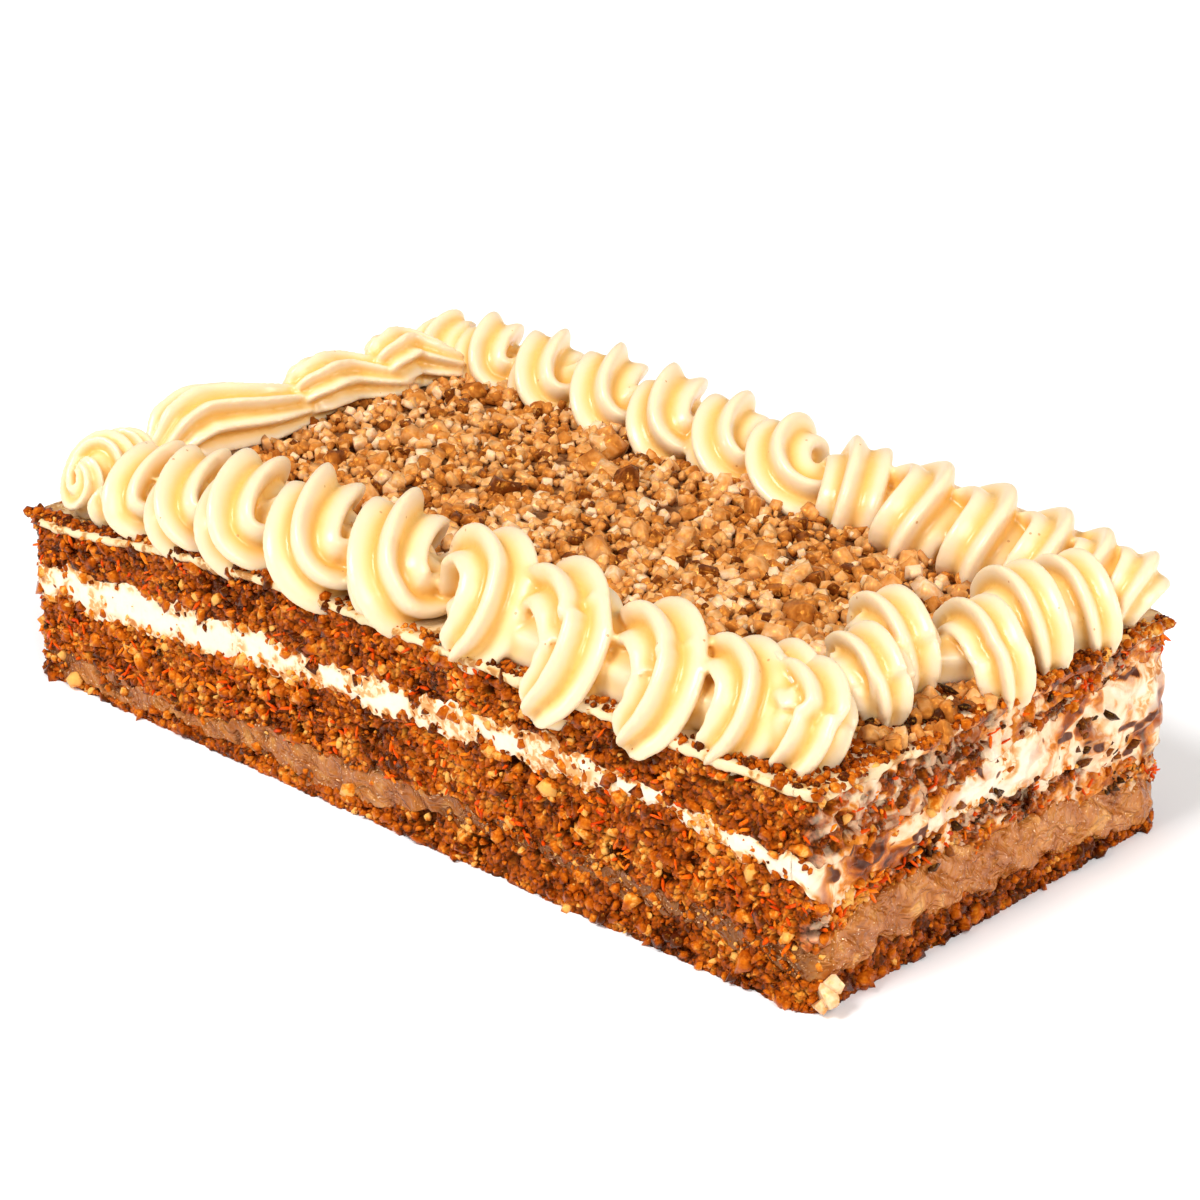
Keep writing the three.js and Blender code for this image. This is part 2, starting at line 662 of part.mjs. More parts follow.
// Piped border. Each row is cut clear of the cake and of the rows made before it.
const room = clearance();
const makeFront = (grow) => pipedRow(frontRow, grow).add(archedRow(frontArches, grow));
const front = largest(makeFront(0).subtract(room));
let taken = makeFront(cutterGrow);
const back = largest(pipedRow(backRow, 0).subtract(room).subtract(taken));
taken = taken.add(pipedRow(backRow, cutterGrow));
const right = largest(archedRow(rightArches, 0).subtract(room).subtract(taken));
taken = taken.add(archedRow(rightArches, cutterGrow));
const curls = largest(pipedRow(cornerCurls, 0).subtract(room).subtract(taken));
taken = taken.add(pipedRow(cornerCurls, cutterGrow));
const piping = [
  ["piping_front", front],
  ["piping_back", back],
  ["piping_right", right],
  ["piping_curls", curls],
];
leftShells.forEach((shell, i) => {
  piping.push(["piping_left_" + (i + 1), largest(pulledShell(shell, 0).subtract(room).subtract(taken))]);
  taken = taken.add(pulledShell(shell, cutterGrow));
});
const walnuts = largest(walnutBed().subtract(room));

const group = new THREE.Group();
group.name = "carrot_cake";
cake.forEach((entry) => group.add(meshFrom(...entry)));
group.add(meshFrom("walnut_topping", walnuts, 0xcf9a62, 0.6));
piping.forEach(([name, solid]) => group.add(meshFrom(name, solid, 0xfff0c8, 0.45)));

// Bring the middle of the whole cake over the origin
const box = new THREE.Box3().setFromObject(group);
const middle = box.getCenter(new THREE.Vector3());
group.position.set(-middle.x, -middle.y, -box.min.z);
group.updateMatrixWorld(true);

export default group;
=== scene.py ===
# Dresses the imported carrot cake: crumb, fillings, chopped walnuts and piped cream
import math
import bpy
import numpy as np
from mathutils import Matrix, Vector


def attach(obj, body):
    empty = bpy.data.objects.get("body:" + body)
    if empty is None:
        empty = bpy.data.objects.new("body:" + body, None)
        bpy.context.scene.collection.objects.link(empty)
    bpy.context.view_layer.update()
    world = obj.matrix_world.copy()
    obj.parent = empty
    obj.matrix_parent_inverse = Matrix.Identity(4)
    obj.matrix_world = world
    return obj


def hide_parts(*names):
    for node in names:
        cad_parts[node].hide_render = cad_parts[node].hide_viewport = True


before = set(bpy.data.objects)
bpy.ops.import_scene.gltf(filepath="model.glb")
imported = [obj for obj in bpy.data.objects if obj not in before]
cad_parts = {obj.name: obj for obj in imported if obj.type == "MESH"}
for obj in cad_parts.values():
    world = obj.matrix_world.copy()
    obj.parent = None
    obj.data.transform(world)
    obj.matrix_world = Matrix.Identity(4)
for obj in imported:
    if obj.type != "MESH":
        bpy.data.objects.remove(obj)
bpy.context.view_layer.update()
mm = 0.001
columns = np.column_stack

# Plan corners in millimetres with the height of the icing there, and the move from that plan to the frame
cake = {
    "frontLeft": (-152.8, -85.3, 61.5),
    "frontRight": (147.0, -74.3, 62.0),
    "backRight": (144.7, 72.1, 61.4),
    "backLeft": (-139.0, 87.5, 62.5),
    "cornerRound": 7.0,
    "sunkDepth": 10.5,      # how far the front left corner has sunk
    "sunkReach": 62.0,
    "icingThick": 2.4,
    "planShift": (1.859, -0.284),
}
corners = np.array([cake[k] for k in ("frontLeft", "frontRight", "backRight", "backLeft")])

# Layer boundaries from the base up, by place round the cake: 0 to 1 along the front, 1 to 2 the right side
layerTable = {
    "side": [0, 0.11, 0.25, 0.45, 0.69, 0.85, 0.98, 1.04, 1.34, 1.66, 1.96, 2.3, 2.7, 3, 3.5, 4],
    "sponge": [3.2, 3.2, 4.8, 6.9, 12.2, 12.1, 10.1, 8.8, 11.3, 9.8, 3.5, 7, 9, 7, 5, 3.2],
    "caramel": [8.6, 10.2, 10.2, 15.4, 17.8, 18.7, 17.4, 22.4, 27, 23, 14.5, 15, 16, 13.5, 11.5, 8.6],
    "middle": [26.6, 26.6, 30.6, 34.2, 37.8, 40.5, 34.8, 27.5, 34.5, 33.5, 21.5, 33, 35, 33, 30, 26.6],
    "cream": [37.6, 39, 42.7, 43.7, 48, 45.7, 41.7, 40.3, 44.9, 50, 54, 46, 46.5, 45, 42, 37.6],
}


def smooth(x, a, b):
    # 0 below a, 1 above b, an S curve between
    t = np.clip((x - a) / (b - a), 0, 1)
    return t * t * (3 - 2 * t)


def topHeight(x, y):
    # bilinear between the four corner heights, less a round hollow at the sunk corner; five rounds find
    # the two shares of a plan place
    a, b, c, d = corners
    u, v = 0.5, 0.5
    for step in range(5):
        left, right = a[0] + (d[0] - a[0]) * v, b[0] + (c[0] - b[0]) * v
        u = (x - left) / (right - left)
        front, back = a[1] + (b[1] - a[1]) * u, d[1] + (c[1] - d[1]) * u
        v = (y - front) / (back - front)
    front, back = a[2] + (b[2] - a[2]) * u, d[2] + (c[2] - d[2]) * u
    away = np.hypot(x - a[0], y - a[1]) / cake["sunkReach"]
    return front + (back - front) * v - cake["sunkDepth"] * np.exp(-away ** 2)


def chance(i, j, seed):
    # one fixed random number from 0 to 1 for each pair of whole numbers, from a whole-number hash
    n = (i * 374761393 + j * 668265263 + seed * 974634777) & 0xffffffff
    n = ((n ^ (n >> 13)) * 1274126177) & 0xffffffff
    return ((n ^ (n >> 16)) & 0xffff) / 65535


def waves(u, v, cell, seed, turns=10 ** 6):
    # value noise from -1 to 1: random corner values on a square grid, joined by S curves
    i, j = np.floor(u / cell).astype(np.int64), np.floor(v / cell).astype(np.int64)
    f, g = u / cell - i, v / cell - j
    f, g = f * f * (3 - 2 * f), g * g * (3 - 2 * g)
    a = chance(i % turns, j, seed) * (1 - f) + chance((i + 1) % turns, j, seed) * f
    b = chance(i % turns, j + 1, seed) * (1 - f) + chance((i + 1) % turns, j + 1, seed) * f
    return 2 * (a * (1 - g) + b * g) - 1


def grains(u, v, cell, seed, turns=10 ** 6):
    # nearest of one random point in each grid cell: its distance, how much nearer it is than the next one,
    # the grain's own random numbers, and the way from its middle
    i, j = np.floor(u / cell).astype(np.int64), np.floor(v / cell).astype(np.int64)
    near, second = np.full(u.shape, 9e9), np.full(u.shape, 9e9)
    tone, lean, du, dv = (np.zeros(u.shape) for k in range(4))
    for di in (-1, 0, 1):
        for dj in (-1, 0, 1):
            a, b = (i + di) % turns, j + dj
            pu, pv = (i + di + chance(a, b, seed)) * cell - u, (j + dj + chance(a, b, seed + 1)) * cell - v
            away = np.hypot(pu, pv)
            closer = away < near
            second = np.where(closer, near, np.minimum(second, away))
            tone = np.where(closer, chance(a, b, seed + 2), tone)
            lean = np.where(closer, chance(a, b, seed + 3), lean)
            du, dv = np.where(closer, pu, du), np.where(closer, pv, dv)
            near = np.minimum(near, away)
    return near / cell, (second - near) / cell, tone, lean, du / cell, dv / cell


def addObject(name, data):
    # a new object at the origin, linked to the scene
    made = bpy.data.objects.new(name, data)
    bpy.context.scene.collection.objects.link(made)
    return made


def setValue(mesh, name, value):
    # one number for each point of a mesh, which its material reads by name
    numbers = mesh.attributes.new(name, "FLOAT", "POINT").data
    numbers.foreach_set("value", np.asarray(value, np.float32).ravel())


def makeMesh(name, points, faces, material, shade=True, **values):
    # points in plan millimetres become a mesh in the frame, in metres; the further values go to its points
    points = np.asarray(points, float)
    mesh = bpy.data.meshes.new(name)
    faces = [np.asarray(group, np.int32) for group in (faces if isinstance(faces, list) else [faces])]
    mesh.vertices.add(len(points))
    mesh.vertices.foreach_set("co", ((points + [*cake["planShift"], 0]) * mm).ravel())
    loops = np.concatenate([group.ravel() for group in faces])
    sizes = np.concatenate([np.full(len(group), group.shape[1]) for group in faces])
    mesh.loops.add(len(loops))
    mesh.loops.foreach_set("vertex_index", loops)
    mesh.polygons.add(len(sizes))
    mesh.polygons.foreach_set("loop_start", np.concatenate([[0], np.cumsum(sizes)[:-1]]))
    mesh.polygons.foreach_set("loop_total", sizes)
    mesh.update(calc_edges=True)
    mesh.validate()
    mesh.polygons.foreach_set("use_smooth", np.full(len(mesh.polygons), shade))
    for key, value in values.items():
        setValue(mesh, key, value)
    mesh.materials.append(material)
    return addObject(name, mesh)


def place(piece, slot, *nodes):
    # every piece rides on the one body; some stand for nodes of the frame
    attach(piece, "root")
    if nodes:
        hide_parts(*nodes)
    print(piece.name, len(piece.data.vertices), "points")


# Materials. Each colour table runs from one end of its value to the other.
def makeLook(name, rough, specular=0.5, under=0.0, depth=0.002, spread=(1, 0.5, 0.25), shine=(1, 0.42, 0.05)):
    # gloss and its tint, and how much light goes under the surface, how deep and in which colour
    material = bpy.data.materials.new(name)
    material.use_nodes = True
    tree = material.node_tree
    shader = tree.nodes["Principled BSDF"]
    shader.inputs["Roughness"].default_value = rough
    shader.inputs["Specular IOR Level"].default_value = specular
    shader.inputs["Specular Tint"].default_value = (*shine, 1)
    shader.inputs["Subsurface Weight"].default_value = under
    shader.inputs["Subsurface Radius"].default_value = spread
    shader.inputs["Subsurface Scale"].default_value = depth
    return material, tree, shader


def node(tree, kind, settings=None, **sockets):
    # one node, with its settings, and its inputs set or linked by name, or by number as in i0
    made = tree.nodes.new(kind)
    for key, value in (settings or {}).items():
        setattr(made, key, value)
    for key, value in sockets.items():
        socket = made.inputs[int(key[1:]) if key[1:].isdigit() else key]
        if isinstance(value, bpy.types.NodeSocket):
            tree.links.new(value, socket)
        else:
            socket.default_value = value
    return made


def attribute(tree, name):
    # the number that setValue gave to the points
    return node(tree, "ShaderNodeAttribute", {"attribute_name": name}).outputs["Fac"]


def ramp(tree, value, stops):
    # colours at places from 0 to 1, joined by straight lines
    made = node(tree, "ShaderNodeValToRGB", i0=value)
    while len(made.color_ramp.elements) < len(stops):
        made.color_ramp.elements.new(0.5)
    for element, (spot, color) in zip(made.color_ramp.elements, stops):
        element.position = spot
        element.color = (*color, 1)
    return made.outputs["Color"]


def threshold(tree, value, low, high):
    # black below low, white above high
    return ramp(tree, value, [(low, (0, 0, 0)), (high, (1, 1, 1))])


def mix(tree, share, a, b, how="MIX"):
    # a x (1 - share) + b x share
    made = node(tree, "ShaderNodeMix", {"data_type": "RGBA", "blend_type": how})
    for index, value in ((0, share), (6, a), (7, b)):
        if isinstance(value, bpy.types.NodeSocket):
            tree.links.new(value, made.inputs[index])
        else:
            made.inputs[index].default_value = value if index == 0 else (*value, 1)
    return made.outputs[2]


def noise(tree, scale, detail=3, swirl=0.0):
    # soft noise in the object's own metres, about 0.5
    where = node(tree, "ShaderNodeTexCoord").outputs["Object"]
    made = node(tree, "ShaderNodeTexNoise", Vector=where, Scale=scale, Detail=detail, Distortion=swirl)
    return made.outputs["Fac"]


def maths(tree, how, a, b=0.0, clamp=False):
    # one sum, product or comparison of a and b
    return node(tree, "ShaderNodeMath", {"operation": how, "use_clamp": clamp}, i0=a, i1=b).outputs[0]


def times(tree, a, b, clamp=False):
    # a x b
    return maths(tree, "MULTIPLY", a, b, clamp)


def speckle(tree, scale, detail, size):
    # noise about zero, its size times from -0.5 to 0.5
    return times(tree, maths(tree, "SUBTRACT", noise(tree, scale, detail), 0.5), size)


def patches(tree):
    # tone shared by neighbouring pieces: patches of 15 mm and clumps of 4 mm
    return maths(tree, "ADD", speckle(tree, 65, 2, 1.7), speckle(tree, 250, 3, 1.9))


def paint(look, color, grain, detail, strength, depth, swirl=0.0):
    # the colour goes into the look's shader, with noise of this grain as bump
    material, tree, shader = look
    height = noise(tree, grain, detail, swirl)
    made = node(tree, "ShaderNodeBump", Height=height, Strength=strength, Distance=depth)
    tree.links.new(made.outputs["Normal"], shader.inputs["Normal"])
    tree.links.new(color, shader.inputs["Base Color"])
    return material


spongeColors = [(0.0, (0.06, 0.007, 0.001)), (0.22, (0.25, 0.036, 0.001)), (0.5, (0.39, 0.068, 0.003)),
                (0.75, (0.53, 0.112, 0.004)), (1.0, (0.68, 0.25, 0.028))]
smearColors = [(0.32, (0.07, 0.011, 0.002)), (0.42, (0.36, 0.070, 0.003)), (0.49, (0.68, 0.22, 0.022)),
               (0.55, (0.84, 0.58, 0.34)), (0.75, (0.89, 0.76, 0.60))]
creamWhite = (0.90, 0.77, 0.60)


def spongeLook(name, rough=0.25):
    # grain colours by tone, with painted shade near black in the gaps and pits, with cream where it is
    # smeared; on the right side all are mixed
    look = makeLook(name, rough, specular=0.35, under=0.08, depth=0.001, spread=(1, 0.4, 0.12))
    tree = look[1]
    tone = maths(tree, "ADD", attribute(tree, "tone"), speckle(tree, 900, 3, 1.1))
    color = ramp(tree, maths(tree, "ADD", tone, patches(tree)), spongeColors)
    # painted shade: near black where the dark value marks gaps between grains and pits
    color = mix(tree, attribute(tree, "dark"), color, (0.035, 0.007, 0.002))
    right = attribute(tree, "right")
    streaks = threshold(tree, noise(tree, 120, 4, 1.6), 0.50, 0.60)
    streaks = times(tree, streaks, times(tree, right, 0.55))
    color = mix(tree, streaks, color, (0.84, 0.60, 0.38))
    cream = mix(tree, right, creamWhite, ramp(tree, noise(tree, 75, 5, 1.4), smearColors))
    color = mix(tree, attribute(tree, "cream"), color, cream)
    return paint(look, color, 1500, 3, strength=0.5, depth=0.0004)


def pieceLook(name, stops, rough, specular=0.5, under=0.1, grain=1200, strength=0.4, shared=0.0, mottle=0.9):
    # loose pieces: colour by each piece's own tone, mottled a little, and by the patch they lie in
    look = makeLook(name, rough, specular, under, depth=0.0015, spread=(1, 0.5, 0.2))
    tree = look[1]
    tone = maths(tree, "ADD", attribute(tree, "tone"), speckle(tree, grain, 3, mottle))
    if shared:
        tone = maths(tree, "ADD", tone, times(tree, patches(tree), shared))
    return paint(look, ramp(tree, tone, stops), 2 * grain, 2, strength, depth=0.0003)


crumbLook = pieceLook("goldenCrumbs", [
    (0.0, (0.06, 0.007, 0.001)), (0.22, (0.27, 0.040, 0.001)), (0.5, (0.42, 0.080, 0.003)),
    (0.75, (0.56, 0.138, 0.006)), (0.92, (0.68, 0.26, 0.035)), (1.0, (0.76, 0.38, 0.09))],
    rough=0.17, specular=0.4, grain=900, strength=0.5, shared=0.9)
carrotLook = pieceLook("carrotShreds", [
    (0.0, (0.52, 0.030, 0.001)), (0.5, (0.75, 0.080, 0.002)), (1.0, (0.85, 0.22, 0.01))],
    rough=0.24, specular=0.3)
darkLook = pieceLook("darkBits", [
    (0.0, (0.010, 0.003, 0.002)), (0.5, (0.05, 0.010, 0.003)), (1.0, (0.22, 0.055, 0.010))], rough=0.14)
walnutLook = pieceLook("choppedWalnuts", [
    (0.0, (0.11, 0.022, 0.003)), (0.22, (0.32, 0.085, 0.010)), (0.5, (0.54, 0.19, 0.032)),
    (0.78, (0.70, 0.35, 0.12)), (1.0, (0.82, 0.56, 0.33))],
    rough=0.16, specular=0.55, under=0.2, grain=500, shared=0.3, mottle=0.45)


def creamLook(name, white, middle, tan):
    # filling: white, tan where crumb shows through or is smeared in, and along the filling's edges also as
    # painted shade, stirred together on the right side
    look = makeLook(name, 0.34, specular=0.35, under=0.2, spread=(1, 0.75, 0.5), shine=(1, 0.9, 0.75))
    tree = look[1]
    fine = ramp(tree, noise(tree, 260, 4), [(0.35, (0.96, 0.93, 0.88)), (0.65, (1, 1, 1))])
    color = mix(tree, 0.6, white, fine, "MULTIPLY")
    broken = ramp(tree, noise(tree, 480, 4, 0.8), [(0.38, (0.25, 0.25, 0.25)), (0.55, (1, 1, 1))])
    stain = times(tree, attribute(tree, "tan"), broken)
    color = mix(tree, times(tree, stain, 1.6, True), color, middle)
    color = mix(tree, threshold(tree, stain, 0.35, 0.9), color, tan)
    stirred = threshold(tree, noise(tree, 45, 2, 0.5), 0.40, 0.55)
    stirred = times(tree, attribute(tree, "right"), stirred)
    color = mix(tree, stirred, color, ramp(tree, noise(tree, 70, 5, 1.4), smearColors))
    dark = attribute(tree, "dark")
    color = mix(tree, times(tree, dark, 2.2, True), color, (0.50, 0.15, 0.018))
    color = mix(tree, threshold(tree, dark, 0.35, 0.8), color, (0.09, 0.016, 0.003))
    return paint(look, color, 420, 4, strength=0.5, depth=0.0006, swirl=1.0)


def caramelMaterial():
    # glossy milk caramel, mottled, with painted highlights as tiny pale spots, and long shallow ripples
    look = makeLook("milkCaramel", 0.09, specular=0.8, under=0.15, spread=(1, 0.45, 0.2),
                    shine=(1, 0.65, 0.35))
    tree = look[1]
    color = ramp(tree, noise(tree, 90, 3, 1.5), [(0.30, (0.25, 0.060, 0.008)), (0.43, (0.38, 0.105, 0.015)),
                                                 (0.58, (0.49, 0.162, 0.027)), (0.74, (0.72, 0.34, 0.085))])
    color = mix(tree, attribute(tree, "dark"), color, (0.12, 0.030, 0.006))
    # painted highlights: tiny pale spots mixed into the caramel's colour
    glintsAndSpecks = maths(tree, "GREATER_THAN", noise(tree, 1300, 1), 0.72)
    color = mix(tree, times(tree, glintsAndSpecks, 0.7), color, (0.86, 0.62, 0.36))
    return paint(look, color, 170, 2, strength=1.0, depth=0.003, swirl=1.6)


def pipedMaterial():
    # pale yellow cream, with painted shade of deeper yellow in the valleys, and a few tiny brown specks
    look = makeLook("pipedCream", 0.30, under=0.3, depth=0.003, spread=(1, 0.78, 0.32), shine=(1, 0.97, 0.9))
    tree = look[1]
    # painted shade: the colour turns deeper yellow where the crease shade value is high, in the valleys
    color = ramp(tree, attribute(tree, "creaseShade"), [(0.0, (0.82, 0.64, 0.41)), (0.35, (0.82, 0.575, 0.26)),
                                                   (1.0, (0.79, 0.43, 0.085))])
    where = node(tree, "ShaderNodeTexCoord").outputs["Object"]
    away = node(tree, "ShaderNodeTexVoronoi", Vector=where, Scale=130).outputs["Distance"]
    glintsAndSpecks = times(tree, maths(tree, "LESS_THAN", away, 0.055), 0.75)
    return paint(look, mix(tree, glintsAndSpecks, color, (0.50, 0.22, 0.06)), 500, 3, strength=0.12, depth=0.0003)


fillingLook = creamLook("creamFilling", creamWhite, (0.84, 0.50, 0.20), (0.52, 0.17, 0.022))
icingLook = creamLook("icingFilm", (0.78, 0.60, 0.36), (0.68, 0.42, 0.16), (0.42, 0.17, 0.035))
pipedLook = pipedMaterial()


# Sides of the cake. Sizes in millimetres.
wall = {
    "frontStep": 0.5, "backStep": 0.8,     # widths of the grid's columns on the seen and the hidden sides
    "rowStep": 0.56, "thinnest": 0.6,      # height of the rows, and the least height of a layer
    "cornerSpan": 0.044,                   # how much of a side's 0 to 1 a round corner takes
    "wrap": 54.0, "lastStep": 0.6,         # the way round is stretched to a multiple of wrap, for whole waves
    "ragged": 2.5,                         # how far a layer boundary strays up and down, and in which waves
    "raggedWaves": ((18.0, 0.45), (6.0, 0.75), (2.0, 0.45)),
    "closing": [0.05],                     # how far the closing rings are drawn in, as shares
    "icingRings": [0.012, 0.024, 0.037, 0.05, 0.065, 0.08, 0.1, 0.12, 0.15, 0.2],
}


def rim(steps):
    # points round the cake with round corners: plan place, way out, side 0 to 4 and distance run
    xy, out, side = [], [], []
    size = cake["cornerRound"]
    for k in range(4):
        here, before, after = corners[k, :2], corners[k - 1, :2], corners[(k + 1) % 4, :2]
        back = (before - here) / np.linalg.norm(before - here)
        length = np.linalg.norm(after - here)
        ahead = (after - here) / length
        centre = here + (back + ahead) * size
        t = np.arange(0, np.pi / 2, steps[k] / size)
        way = -np.cos(t)[:, None] * ahead - np.sin(t)[:, None] * back
        xy.append(centre + way * size)
        out.append(way / np.linalg.norm(way, axis=1)[:, None])
        side.append((k + (t / np.pi * 2 - 0.5) * wall["cornerSpan"] + 4) % 4)
        run = np.arange(size, length - size, steps[k])
        xy.append(here + ahead * run[:, None])
        out.append(np.tile([ahead[1], -ahead[0]], (len(run), 1)))
        side.append(k + run / length)
    xy, out, side = np.concatenate(xy), np.concatenate(out), np.concatenate(side)
    gaps = np.linalg.norm(np.roll(xy, -1, 0) - xy, axis=1)
    return xy, out, side, np.concatenate([[0], np.cumsum(gaps)[:-1]]), gaps.sum()


rimXY, rimOut, rimSide, rimRun, rimLength = rim([wall["frontStep"]] * 2 + [wall["backStep"]] * 2)
rimLength = math.ceil(rimLength / wall["wrap"]) * wall["wrap"]
rimRun = rimRun * rimLength / (rimRun[-1] + wall["lastStep"])


def wallWaves(run, z, cell, seed):
    # waves of which a whole number of cells goes round the cake, so that they meet where it closes
    return waves(run, z, cell, seed, int(round(rimLength / cell)))


def wallGrains(run, z, cell, seed):
    # grains that meet in the same way
    return grains(run, z, cell, seed, int(round(rimLength / cell)))


def boundary(key, run, side):
    # height of a layer boundary: the table's value plus three sizes of waves
    if key == "base":
        return np.zeros_like(run)
    level = ["sponge", "caramel", "middle", "cream"].index(key)
    height = np.interp(side, layerTable["side"], layerTable[key])
    for cell, share in wall["raggedWaves"]:
        stray = wallWaves(run, np.full_like(run, level * 50.0), cell, 60 + level)
        height = height + wall["ragged"] * share * stray
    return height


def heights(key, run, side, xy):
    # height of any boundary; the two of the icing follow the top, and the lower one has a wavy lip
    if key not in ("icing", "top"):
        return boundary(key, run, side)
    top = topHeight(xy[:, 0], xy[:, 1])
    if key == "top":
        return top
    lip = 0.35 * wallWaves(run, run * 0, 9.0, 71) + 0.25 * wallWaves(run, run * 0, 3.0, 72)
    return top - cake["icingThick"] + lip * 1.6


def tubeFaces(rings, sides):
    # quads between the rings of a tube, and a fan at each end to its centre point
    i, j = np.arange(sides), (np.arange(sides) + 1) % sides
    first = np.arange(rings - 1)[:, None] * sides
    quads = np.stack([first + i, first + j, first + sides + j, first + sides + i], -1).reshape(-1, 4)
    last = rings * sides
    fans = np.concatenate([columns([np.full(sides, last), j, i]),
                           columns([np.full(sides, last + 1), last - sides + i, last - sides + j])])
    return [quads, fans]


def wallGrid(low, high, relief):
    # rows of points between two boundaries, moved out by the relief; each end is closed by rings drawn in
    # towards the middle and a centre point, and the top of the icing rolls in slow waves over its rings
    bottom, top = heights(low, rimRun, rimSide, rimXY), heights(high, rimRun, rimSide, rimXY)
    top = np.maximum(top, bottom + wall["thinnest"])
    rows = max(3, int(np.max(top - bottom) / wall["rowStep"]) + 1)
    share = np.linspace(0, 1, rows)[:, None]
    z = bottom * (1 - share) + top * share
    run, side = np.broadcast_to(rimRun, z.shape), np.broadcast_to(rimSide, z.shape)
    reach, drop, values = relief(run, z, side, share)
    xy = rimXY[None] + rimOut[None] * reach[..., None]
    grid = np.concatenate([xy, np.maximum(z + drop, 0)[..., None]], -1)
    drawnIn = np.array(wall["icingRings"] if high == "top" else wall["closing"])
    under = columns([rimXY * (1 - wall["closing"][0]), z[0] * (low != "base")])
    inner = (rimXY[None] * (1 - drawnIn[:, None, None])).reshape(-1, 2)
    level = np.tile(z[-1], len(drawnIn))
    if high == "top":
        level = topHeight(*inner.T) + 0.4 * waves(*inner.T, 7.0, 115) + 0.25 * waves(*inner.T, 2.6, 116)
    points = np.concatenate([under, grid.reshape(-1, 3), columns([inner, level]), [under.mean(0)],
                             [[0, 0, level.mean()]]])
    spread = {}
    for key, value in values.items():
        value = np.broadcast_to(value, z.shape)
        ends = np.tile(value[-1], len(drawnIn))
        if high == "top" and key == "tan":
            ends = 0.8 * smooth(waves(*inner.T, 8.0, 117) + 0.6 * waves(*inner.T, 3.0, 118), -0.1, 0.6)
        spread[key] = np.concatenate([value[0], value.ravel(), ends, [0, 0]])
    return points, tubeFaces(rows + 1 + len(drawnIn), len(rimXY)), spread


def between(x, a, b, c, d):
    # up from 0 to 1 between a and b, down again between c and d
    return smooth(x, a, b) * (1 - smooth(x, c, d))


def rightSide(side):
    # 1 on the right side, 0 on the others
    return between(side, 0.985, 1.02, 1.98, 2.015)


def covered(run, z, side, what):
    # where crumb lies over a filling: in patches over the cream, and over most of the front's caramel
    patch = wallWaves(run, z * 1.5, 9.0, 92) + 0.7 * wallWaves(run, z, 3.0, 93)
    if what == "cream":
        return smooth(patch + 0.25 * smooth(side, 0.12, 0.3) * (side < 1), 0.12, 0.5)
    onFront = (side < 1.1) * (1 - smooth(side, 0.985, 1.02))
    ends = np.maximum(0.8 * smooth(side, 0.5, 0.68), 1 - smooth(side, 0.03, 0.06))
    return np.clip(onFront * ends + (side > 2) * 0.5 + smooth(patch, 0.4, 0.8) * onFront, 0, 1)


def smears(run, z, side):
    # where cream is wiped over the crumb on the right side, in long nearly level strokes
    tilt = z - 0.1 * (run - 300)
    strokes = 0.55 * wallWaves(run, tilt * 3.2, 12.0, 81) + 0.5 * wallWaves(run, tilt * 2.2, 4.0, 82)
    strokes = strokes + 0.25 * wallWaves(run, z, 30.0, 83) + 0.15 * smooth(side, 1.3, 1.6)
    return between(side, 0.985, 1.03, 1.97, 2.02) * smooth(strokes, 0, 0.35)


crumb = {
    "grain": 2.7, "grainDeep": 0.95,       # size of the large grains, and how far they stand out
    "fine": 1.25, "fineDeep": 0.4,         # the same for the small ones
    "crack": 0.9, "fineCrack": 0.3, "pit": 2.4,   # depths of the gaps between grains, and of the pits
    "hollows": 0.65,                       # slow waves in the cut face
}


def spongeRelief(seed, dark=0.0, wiped=1.0):
    # two sizes of grains, each domed and leaning its own way, with gaps between them and pits here and there;
    # dark is how much darker the crumb is, wiped how much cream lies over its right side
    def relief(run, z, side, share):
        warp = 1.2 * wallWaves(run, z, 5.0, seed + 9)
        near, gap, tone, lean, du, dv = wallGrains(run, z + warp, crumb["grain"], seed)
        nearFine, gapFine, toneFine, leanFine = wallGrains(run, z, crumb["fine"], seed + 20)[:4]
        dome = (1 - near ** 2) * 0.5 + (lean - 0.5) * 1.1 + du * (tone - 0.5) * 1.5 + dv * (lean - 0.5) * 1.5
        cracks, cracksFine = 1 - smooth(gap, 0.02, 0.22), 1 - smooth(gapFine, 0.02, 0.3)
        pits = smooth(wallWaves(run, z, 4.5, seed + 40), 0.5, 0.85)
        reach = crumb["grainDeep"] * dome + crumb["fineDeep"] * ((1 - nearFine ** 2) * 0.6 + (leanFine - 0.5))
        reach = reach - crumb["crack"] * cracks - crumb["fineCrack"] * cracksFine - crumb["pit"] * pits
        reach = reach + crumb["hollows"] * wallWaves(run, z, 15.0, seed + 50) - 0.4
        reach = reach * (0.4 + 0.6 * (between(share, 0, 0.08, 0.92, 1) + 0 * z))
        cream = smears(run, z, side) * wiped
        reach = reach * (1 - 0.6 * cream) + 0.5 * cream
        tones = 0.30 + 0.42 * tone + 0.25 * (toneFine - 0.5) + 0.12 * wallWaves(run, z, 12.0, seed + 60)
        values = {
            "tone": tones - dark * (1 + 2 * rightSide(side)),
            # painted shade in the cracks between grains and in the pits, less where cream is wiped over
            "dark": np.clip(0.85 * cracks + 0.4 * cracksFine + pits, 0, 1) * (1 - cream) * 0.85,
            "cream": np.clip(cream, 0, 1) * 0.92,
            "right": rightSide(side) * wiped,
        }
        return reach, 0.25 * (lean - 0.5), values
    return relief


